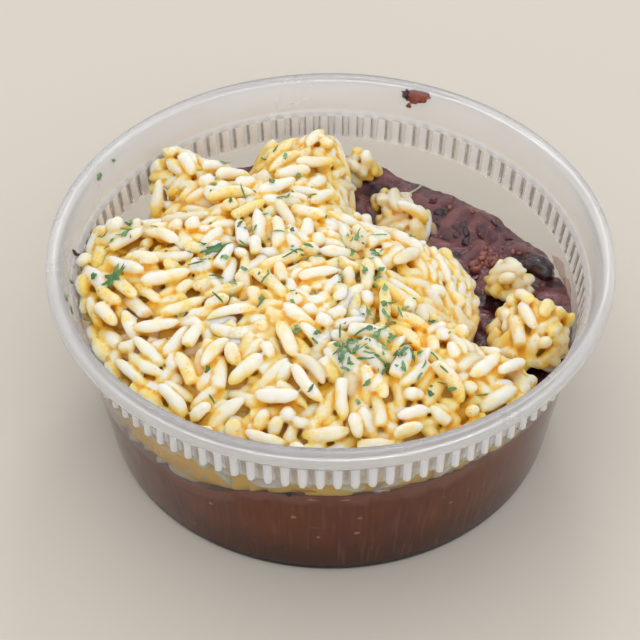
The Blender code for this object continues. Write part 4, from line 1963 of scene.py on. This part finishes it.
@dataclass
class MashBits:
    """Coarse red crumbs and dark skins that stick up from the bare mash."""

    ground: BVHTree
    seed: int = 61
    crumb_patches: tuple[Patch, ...] = (
        Patch(34.9, 18.4, 1.7, 70),
        Patch(31.5, 17.0, 1.6, 14),
        Patch(36.0, 26.0, 9.0, 12),
        Patch(22.0, 40.0, 7.0, 6),
    )
    skin_patches: tuple[Patch, ...] = (
        Patch(37.2, 16.4, 0.6, 2),
        Patch(32.0, 15.2, 1.0, 2),
        Patch(35.0, 27.0, 7.0, 7),
        Patch(24.0, 37.0, 6.0, 5),
        Patch(46.0, 4.0, 2.0, 2),
    )
    reach: float = 49.5 * MM
    crumb_size: Span = (0.30 * MM, 1.30 * MM)
    skin_size: Span = (1.6 * MM, 3.4 * MM)
    skin_corners: int = 14
    skin_thickness: float = 0.14 * MM
    skin_lift: float = 0.22 * MM

    def landed(self, patch: Patch, random: Random) -> list[tuple[Vector, Vector]]:
        """Places on the mash in a patch.

        Args:
            patch: the patch.
            random: gives the scatter.

        Returns:
            Each place and the way that the mash faces there.
        """
        found = []
        for place in patch.scatter(random, 0.6):
            hit, normal, _, _ = self.ground.ray_cast(Vector((*place, SKY)), DOWN)
            if hit is not None and hit.xy.length < self.reach:
                found.append((hit, normal))
        return found

    def build(self) -> None:
        """Makes the crumbs and the skins."""
        random = np.random.default_rng(self.seed)
        ball, faces = round_body(6, 9)
        crumbs = Pile()
        for patch in self.crumb_patches:
            for place, _ in self.landed(patch, random):
                size = random.uniform(*self.crumb_size) * random.uniform(0.6, 1.0)
                points = ball * size * random.uniform(0.65, 1.2, 3)
                points = points * (1 + 0.35 * lumps(ball, 0.8, random.uniform(0, 99))[:, None])
                way = Vector(random.normal(0, 1, 3))
                lifted = place + Vector((0, 0, random.uniform(-0.1, 0.6) * size))
                where = facing(lifted, way, random.uniform(0, ANY_TURN))
                crumbs.add(moved(points, where), faces, random.random())
        skins = Pile()
        for patch in self.skin_patches:
            for place, normal in self.landed(patch, random):
                length = random.uniform(*self.skin_size)
                turn = even_turns(self.skin_corners)
                rough = random.uniform(0.8, 1.1, self.skin_corners)
                rim = np.stack((np.cos(turn) * length, np.sin(turn) * length * 0.55), -1)
                rim = rim * rough[:, None] / 2
                curl = random.uniform(-0.45, 0.2)
                points, triangles = curled_plate(rim, curl, self.skin_thickness, random)
                way = normal + Vector(random.normal(0, 0.25, 3))
                where = facing(place + self.skin_lift * normal, way, random.uniform(0, ANY_TURN))
                skins.add(moved(points, where), [triangles], random.random())
        crumbs.build("bean_crumbs", "bean_mash", CRUMB)
        skins.build("bean_skins", "bean_mash", BEAN_SKIN)


@dataclass(frozen=True)
class Smudge:
    """A thin patch on the tub's wall: degrees about the tub, and in millimetres the height of
    its middle, half its width and height, its thickness, and how far it lies in from the wall."""

    turn: float
    height: float
    half_width: float
    half_height: float
    thickness: float
    shift: float = 0.0
    point_down: float = 0.0
    outside: bool = False


@dataclass
class Smudges:
    """What sticks to the tub's wall: a smear of beans, its drip, films of sauce and flecks."""

    tub: Tub
    seed: int = 83
    around: int = 40
    rings: int = 7
    smear: tuple[Smudge, ...] = (
        Smudge(69.4, 44.9, 3.0, 1.35, 0.85, point_down=0.45),
        Smudge(70.6, 44.2, 1.5, 1.2, 0.60),
        Smudge(71.3, 42.3, 0.60, 0.55, 0.20),
    )
    skin: tuple[Smudge, ...] = (
        Smudge(72.2, 44.9, 0.80, 0.95, 1.10),
        Smudge(175.0, 39.6, 0.45, 1.0, 0.35),
    )
    sauce: tuple[Smudge, ...] = (
        Smudge(14.0, 28.9, 4.2, 1.5, 0.10),
        Smudge(7.0, 28.9, 3.6, 1.3, 0.10),
        Smudge(-76.1, 29.4, 3.2, 0.35, 0.20, shift=PRESSED_IN),
        Smudge(-95.0, 29.8, 2.4, 0.25, 0.20, shift=PRESSED_IN),
        Smudge(-64.0, 28.6, 4.0, 0.30, 0.20, shift=PRESSED_IN),
    )
    flesh: tuple[Smudge, ...] = (
        Smudge(-97.9, 19.9, 0.55, 0.45, 0.2, shift=PRESSED_IN),
        Smudge(-83.0, 19.8, 0.50, 0.35, 0.2, shift=PRESSED_IN),
        Smudge(-83.5, 14.3, 0.60, 0.35, 0.2, shift=PRESSED_IN),
        Smudge(-92.4, 13.0, 0.45, 0.30, 0.2, shift=PRESSED_IN),
        Smudge(-118.0, 17.0, 0.50, 0.40, 0.2, shift=PRESSED_IN),
        Smudge(-61.0, 17.5, 0.55, 0.30, 0.2, shift=PRESSED_IN),
    )
    fleck: tuple[Smudge, ...] = (
        Smudge(-98.5, 28.1, 0.60, 0.45, 0.30, outside=True),
    )

    def body(self, smudge: Smudge, random: Random) -> tuple[Array, list[Array]]:
        """A smudge's closed body, domed on its free side.

        Args:
            smudge: its place and size.
            random: gives its outline.

        Returns:
            Its points and faces.
        """
        share = np.arange(1, self.rings + 1)[:, None] / self.rings
        turn = even_turns(self.around)[None, :]
        edge = 1.0
        for depth, waves in ((0.16, 3), (0.10, 7), (0.05, 13)):
            edge = edge + depth * np.sin(waves * turn + random.uniform(0, 6))
        tall = smudge.half_height * MM
        along = share * edge * np.cos(turn) * (smudge.half_width * MM)
        up = share * edge * np.sin(turn) * tall
        along = along * (1 + smudge.point_down * np.clip(up / tall, -1, 0.6))
        flat = np.stack((along, up, 0 * up), -1).reshape(-1, 3)
        bumps = 1 + 0.5 * lumps(flat, 1.0 * MM, random.uniform(0, 99)).reshape(up.shape)
        thickness = smudge.thickness * MM
        dome = thickness * np.sqrt(np.maximum(1 - share**2, 0)) * bumps + 0.14 * MM
        height = np.minimum(smudge.height * MM + up, self.tub.rim_height - 0.35 * MM)
        rounding = np.maximum(height - self.tub.rim_height + 0.9 * MM, 0) ** 2 / (1.3 * MM)
        if smudge.outside:
            face = self.tub.outer_radius(height) - 0.02 * MM
            front, back = face + dome, face - 0.05 * MM + 0 * dome
        else:
            face = self.tub.inner_radius(height) + rounding - smudge.shift * MM
            front, back = face - dome, face + 0.12 * MM + 0 * dome
        angle = math.radians(smudge.turn) + along / self.tub.rim_inner
        layers = [round_axis(radius, angle, height) for radius in (front, back)]
        count = self.rings * self.around
        middle = [layer[0].mean(0, keepdims=True) for layer in layers]
        points = np.concatenate([layer.reshape(-1, 3) for layer in layers] + middle)
        quads = ring_faces(self.rings, self.around)
        last = count - self.around
        spots = np.arange(self.around)
        after = (spots + 1) % self.around
        rim = np.stack((last + spots, last + after, last + after + count, last + spots + count), -1)
        caps = end_caps(count, self.around, 2 * count)[:, FLIPPED]
        return points, [np.concatenate((quads, quads[:, ::-1] + count, rim)), caps]

    def build(self) -> None:
        """Makes the smudges, one piece for each kind."""
        random = np.random.default_rng(self.seed)
        kinds = {
            "smear": (self.smear, SMEAR),
            "smear_skin": (self.skin, BEAN_SKIN),
            "sauce_film": (self.sauce, SAUCE),
            "bean_flesh": (self.flesh, FLESH),
            "wall_fleck": (self.fleck, FLECK),
        }
        for name, (smudges, finish) in kinds.items():
            pile = Pile()
            for smudge in smudges:
                points, faces = self.body(smudge, random)
                pile.add(points, faces, random.random())
            pile.build(name, "bean_mash", finish)


class HerbCut(Enum):
    """How a bit of herb was cut: its range of lengths and of widths in mm, and its curl."""

    FLAKE = ((1.2, 2.8), (0.7, 1.5), 0.5)
    SLIVER = ((2.0, 4.6), (0.3, 0.55), 0.35)
    CRUMB = ((0.6, 1.1), (0.4, 0.8), 0.7)
    LEAF = ((6.5, 7.5), (2.6, 3.2), 0.25)


@dataclass
class Herbs:
    """Chopped dried herb leaves strewn over the rice."""

    bed: RiceBed
    tub: Tub
    ground: BVHTree
    seed: int = 47
    thickness: float = 0.12 * MM
    corners: int = 13
    reach: float = 50 * MM
    cut_shares: Span = (0.48, 0.74)
    patches: tuple[Patch, ...] = (
        Patch(9, -27, 4.5, 34),
        Patch(3, -29, 3.0, 20),
        Patch(14, -31.5, 3.5, 20),
        Patch(11, -20, 3.0, 14),
        Patch(8, -8, 2.5, 9),
        Patch(6.5, 1.5, 2.5, 12),
        Patch(-6, -2, 3.0, 9),
        Patch(-42, 8, 5.0, 14),
        Patch(-23, -2, 5.0, 9),
        Patch(-18, 34, 6.0, 12),
        Patch(17.5, 8.5, 1.5, 5),
        Patch(20, -37, 4.0, 6),
        Patch(-8, -14, 26.0, 60),
        Patch(-20, 10, 22.0, 34),
    )
    leaves: tuple[Span, ...] = ((-23.7 * MM, 0.0), (-44.0 * MM, -7.0 * MM))
    stems: tuple[Spot, ...] = (
        (-10.8 * MM, 16.9 * MM, 0.3),
        (-36.7 * MM, 6.9 * MM, 2.3),
        (-25.1 * MM, 9.6 * MM, 2.6),
        (2.0 * MM, -24.0 * MM, 1.5),
        (-3.0 * MM, -12.0 * MM, 1.9),
    )
    on_wall: tuple[Span, ...] = (
        (148.7, 45.0 * MM),
        (154.5, 44.6 * MM),
        (-175.6, 39.8 * MM),
        (-165.8, 44.0 * MM),
        (-165.2, 40.9 * MM),
    )
    pale_stem: tuple[Span, ...] = ((15.6 * MM, 39.6 * MM), (21.0 * MM, 45.0 * MM))

    def spots(self, random: Random) -> Array:
        """Where the bits lie, seen from above.

        Args:
            random: gives the scatter.

        Returns:
            The places, (n, 2).
        """
        found = np.concatenate([patch.scatter(random, 0.62) for patch in self.patches])
        cells = self.bed.cell(found)
        on_rice = self.bed.zone[cells[:, 0], cells[:, 1]] >= 0
        inset = np.hypot(found[:, 0], found[:, 1]) < self.reach
        return found[on_rice & inset]

    def outline(self, cut: HerbCut, random: Random) -> tuple[Array, float]:
        """The outline of one bit, lying flat.

        Args:
            cut: how it was cut.
            random: gives the shape.

        Returns:
            The outline's points, (n, 2), and how far it curls.
        """
        count = self.corners
        rough = random.uniform(0.50, 1.15, count)
        lengths, widths, curl = cut.value
        length, width = random.uniform(*lengths), random.uniform(*widths)
        if cut is HerbCut.SLIVER:
            rough = random.uniform(0.8, 1.1, count)
        elif cut is HerbCut.LEAF:
            count = 2 * count
            teeth = np.where(np.arange(count) % 4 < 2, 1.1, 0.6)
            rough = teeth * random.uniform(0.75, 1.15, count)
        turn = even_turns(count)
        shape = np.stack((np.cos(turn) * length, np.sin(turn) * width), -1) * rough[:, None]
        return shape / 2 * MM, curl * random.uniform(-1, 1)

    def lay(self, pile: Pile, cut: HerbCut, where: Matrix, random: Random) -> None:
        """Adds one bit to a pile.

        Args:
            pile: the pile.
            cut: how the bit was cut.
            where: its place and turn.
            random: gives the shape.
        """
        rim, curl = self.outline(cut, random)
        points, triangles = curled_plate(rim, curl, self.thickness, random)
        pile.add(moved(points, where), [triangles], random.random())

    def on_rice(self, x: float, y: float, spin: float, random: Random) -> Matrix:
        """Where a bit lies on the rice.

        Args:
            x: its place along X.
            y: its place along Y.
            spin: its turn.
            random: gives its tilt.

        Returns:
            The matrix.
        """
        place = np.array(((x, y),))
        level = self.bed.sample(self.bed.height, place)[0]
        slope_x, slope_y = (self.bed.sample(rise, place)[0] for rise in self.rises)
        way = Vector((-0.7 * slope_x, -0.7 * slope_y, 1.0)) + Vector(random.normal(0, 0.18, 3))
        return facing((x, y, level + 0.10 * MM), way, spin)

    def stem_over_mash(self) -> None:
        """Makes the pale bit of stem that lies on the mash behind the rice."""
        (x, y), (far_x, far_y) = self.pale_stem
        rows, around = 12, 8
        share = np.linspace(0, 1, rows)
        middle = np.stack((x + (far_x - x) * share, y + (far_y - y) * share), -1)
        middle[:, 0] += 0.8 * MM * np.sin(math.pi * share)
        levels = []
        for place in middle:
            hit = self.ground.ray_cast(Vector((*place, SKY)), DOWN)[0]
            levels.append(hit.z if hit is not None else levels[-1])
        level = np.array(levels).max() * 0.5 + np.array(levels) * 0.5 + 0.35 * MM
        turn = even_turns(around)
        girth = 0.36 * MM * (1 - 0.5 * share) * (1 + 0.15 * np.sin(9 * share))
        aside = np.array((y - far_y, far_x - x)) / math.hypot(far_x - x, far_y - y)
        points = np.zeros((rows, around, 3))
        points[..., :2] = middle[:, None, :] + (girth[:, None] * np.cos(turn))[..., None] * aside
        points[..., 2] = level[:, None] + girth[:, None] * np.sin(turn)
        number = np.arange(rows * around).reshape(rows, around)
        faces = [ring_faces(rows, around)[:, ::-1], number[:1], number[-1:, ::-1]]
        pile = Pile()
        pile.add(points.reshape(-1, 3), faces, 0.3)
        pile.build("pale_stem", "rice", PALE_STEM)

    def build(self) -> None:
        """Strews the herbs and lays the pale stem."""
        random = np.random.default_rng(self.seed)
        self.rises = np.gradient(blurred(self.bed.height, 1), self.bed.step)
        kinds = (HerbCut.FLAKE, HerbCut.SLIVER, HerbCut.CRUMB)
        bits = Pile()
        for x, y in self.spots(random):
            draw = random.random()
            cut = kinds[sum(draw >= share for share in self.cut_shares)]
            where = self.on_rice(x, y, random.uniform(0, 2 * math.pi), random)
            self.lay(bits, cut, where, random)
        for x, y in self.leaves:
            self.lay(bits, HerbCut.LEAF, self.on_rice(x, y, 0.35, random), random)
        for x, y, spin in self.stems:
            self.lay(bits, HerbCut.SLIVER, self.on_rice(x, y, spin, random), random)
        for degrees, height in self.on_wall:
            turn = math.radians(degrees)
            inward = Vector((-math.cos(turn), -math.sin(turn), 0.25))
            radius = float(self.tub.inner_radius(height)) - 0.25 * MM
            place = (radius * math.cos(turn), radius * math.sin(turn), height)
            where = facing(place, inward, random.uniform(0, ANY_TURN))
            self.lay(bits, HerbCut.FLAKE, where, random)
        bits.build("herb_bits", "rice", HERB)
        self.stem_over_mash()


@dataclass
class Studio:
    """The floor, the light and the camera."""

    distance: float = 425.7 * MM
    elevation: float = 0.8187
    turn: float = -0.0052
    tip: float = -0.0419
    roll: float = 0.0063
    lens: float = 107.72
    floor_size: float = 3.0
    floor_cells: int = 8
    floor_colour: Colour = (0.62, 0.57, 0.49)

    def camera(self) -> None:
        """Sets up the camera."""
        place = Vector((0, -math.cos(self.elevation), math.sin(self.elevation))) * self.distance
        down = self.elevation + self.tip
        ahead = Vector((0, math.cos(down), -math.sin(down)))
        aside = Vector((1, 0, 0))
        ahead_turned = (math.cos(self.turn) * ahead + math.sin(self.turn) * aside).normalized()
        aside_turned = (math.cos(self.turn) * aside - math.sin(self.turn) * ahead).normalized()
        up = aside_turned.cross(ahead_turned)
        right = math.cos(self.roll) * aside_turned + math.sin(self.roll) * up
        top = math.cos(self.roll) * up - math.sin(self.roll) * aside_turned
        data = bpy.data.cameras.new("camera")
        data.lens = self.lens
        data.sensor_width = 36.0
        data.clip_start = 0.01
        camera = link("camera", data)
        rows = (right, top, -ahead_turned)
        camera.matrix_world = Matrix.Translation(place) @ Matrix(rows).transposed().to_4x4()
        bpy.context.scene.camera = camera

    def light(self, name: str, place: Spot, size: float, power: float, colour: Colour) -> None:
        """Adds a soft square light that points at the tub.

        Args:
            name: its name.
            place: where it hangs.
            size: the length of its sides.
            power: its power in watts.
            colour: its colour.
        """
        data = bpy.data.lights.new(name, "AREA")
        data.size = size
        data.energy = power
        data.color = colour
        lamp = link(name, data)
        lamp.location = place
        lamp.rotation_euler = (-Vector(place)).to_track_quat("-Z", "Y").to_euler()

    def build(self) -> None:
        """Sets up the floor, the lights, the sky and the camera."""
        material, _, _ = new_material(
            "pale_floor", Base_Color=(*self.floor_colour, 1.0), Roughness=0.75
        )
        cells = self.floor_cells
        axis = np.linspace(-self.floor_size / 2, self.floor_size / 2, cells + 1)
        x, y = np.meshgrid(axis, axis, indexing="ij")
        points = np.stack((x.ravel(), y.ravel(), 0 * x.ravel()), -1)
        number = np.arange((cells + 1) ** 2).reshape(cells + 1, cells + 1)
        corners = (number[:-1, :-1], number[1:, :-1], number[1:, 1:], number[:-1, 1:])
        faces = np.stack(corners, -1).reshape(-1, 4)
        new_piece("floor", points, [faces], material)
        self.light("key", (-0.25, 0.2, 1.05), 1.1, 1.9, (1.0, 0.97, 0.92))
        self.light("fill", (0.25, -0.75, 0.8), 0.9, 2.4, (0.96, 0.98, 1.0))
        self.light("back", (0.12, 0.72, 0.80), 0.22, 1.5, (0.95, 0.97, 1.0))
        world = bpy.data.worlds.new("soft_sky")
        world.use_nodes = True
        sky = world.node_tree.nodes["Background"]
        sky.inputs["Color"].default_value = (0.97, 0.97, 1.0, 1.0)
        sky.inputs["Strength"].default_value = 0.86
        bpy.context.scene.world = world
        bpy.context.scene.view_settings.view_transform = "Standard"
        self.camera()


def main() -> None:
    """Builds the tub, the mash, the rice, the herbs and the studio, in that order."""
    logging.basicConfig(level=logging.INFO, format="%(message)s")
    tub = Tub()
    tub.build()
    ground = search_tree(BeanMash(tub).build())
    WholeBean().build()
    MashBits(ground).build()
    Smudges(tub).build()
    bed = RiceBed(tub)
    grains = bed.settle()
    Rice(bed, grains).build()
    Herbs(bed, tub, ground).build()
    Studio().build()


if __name__ == "__main__":
    main()
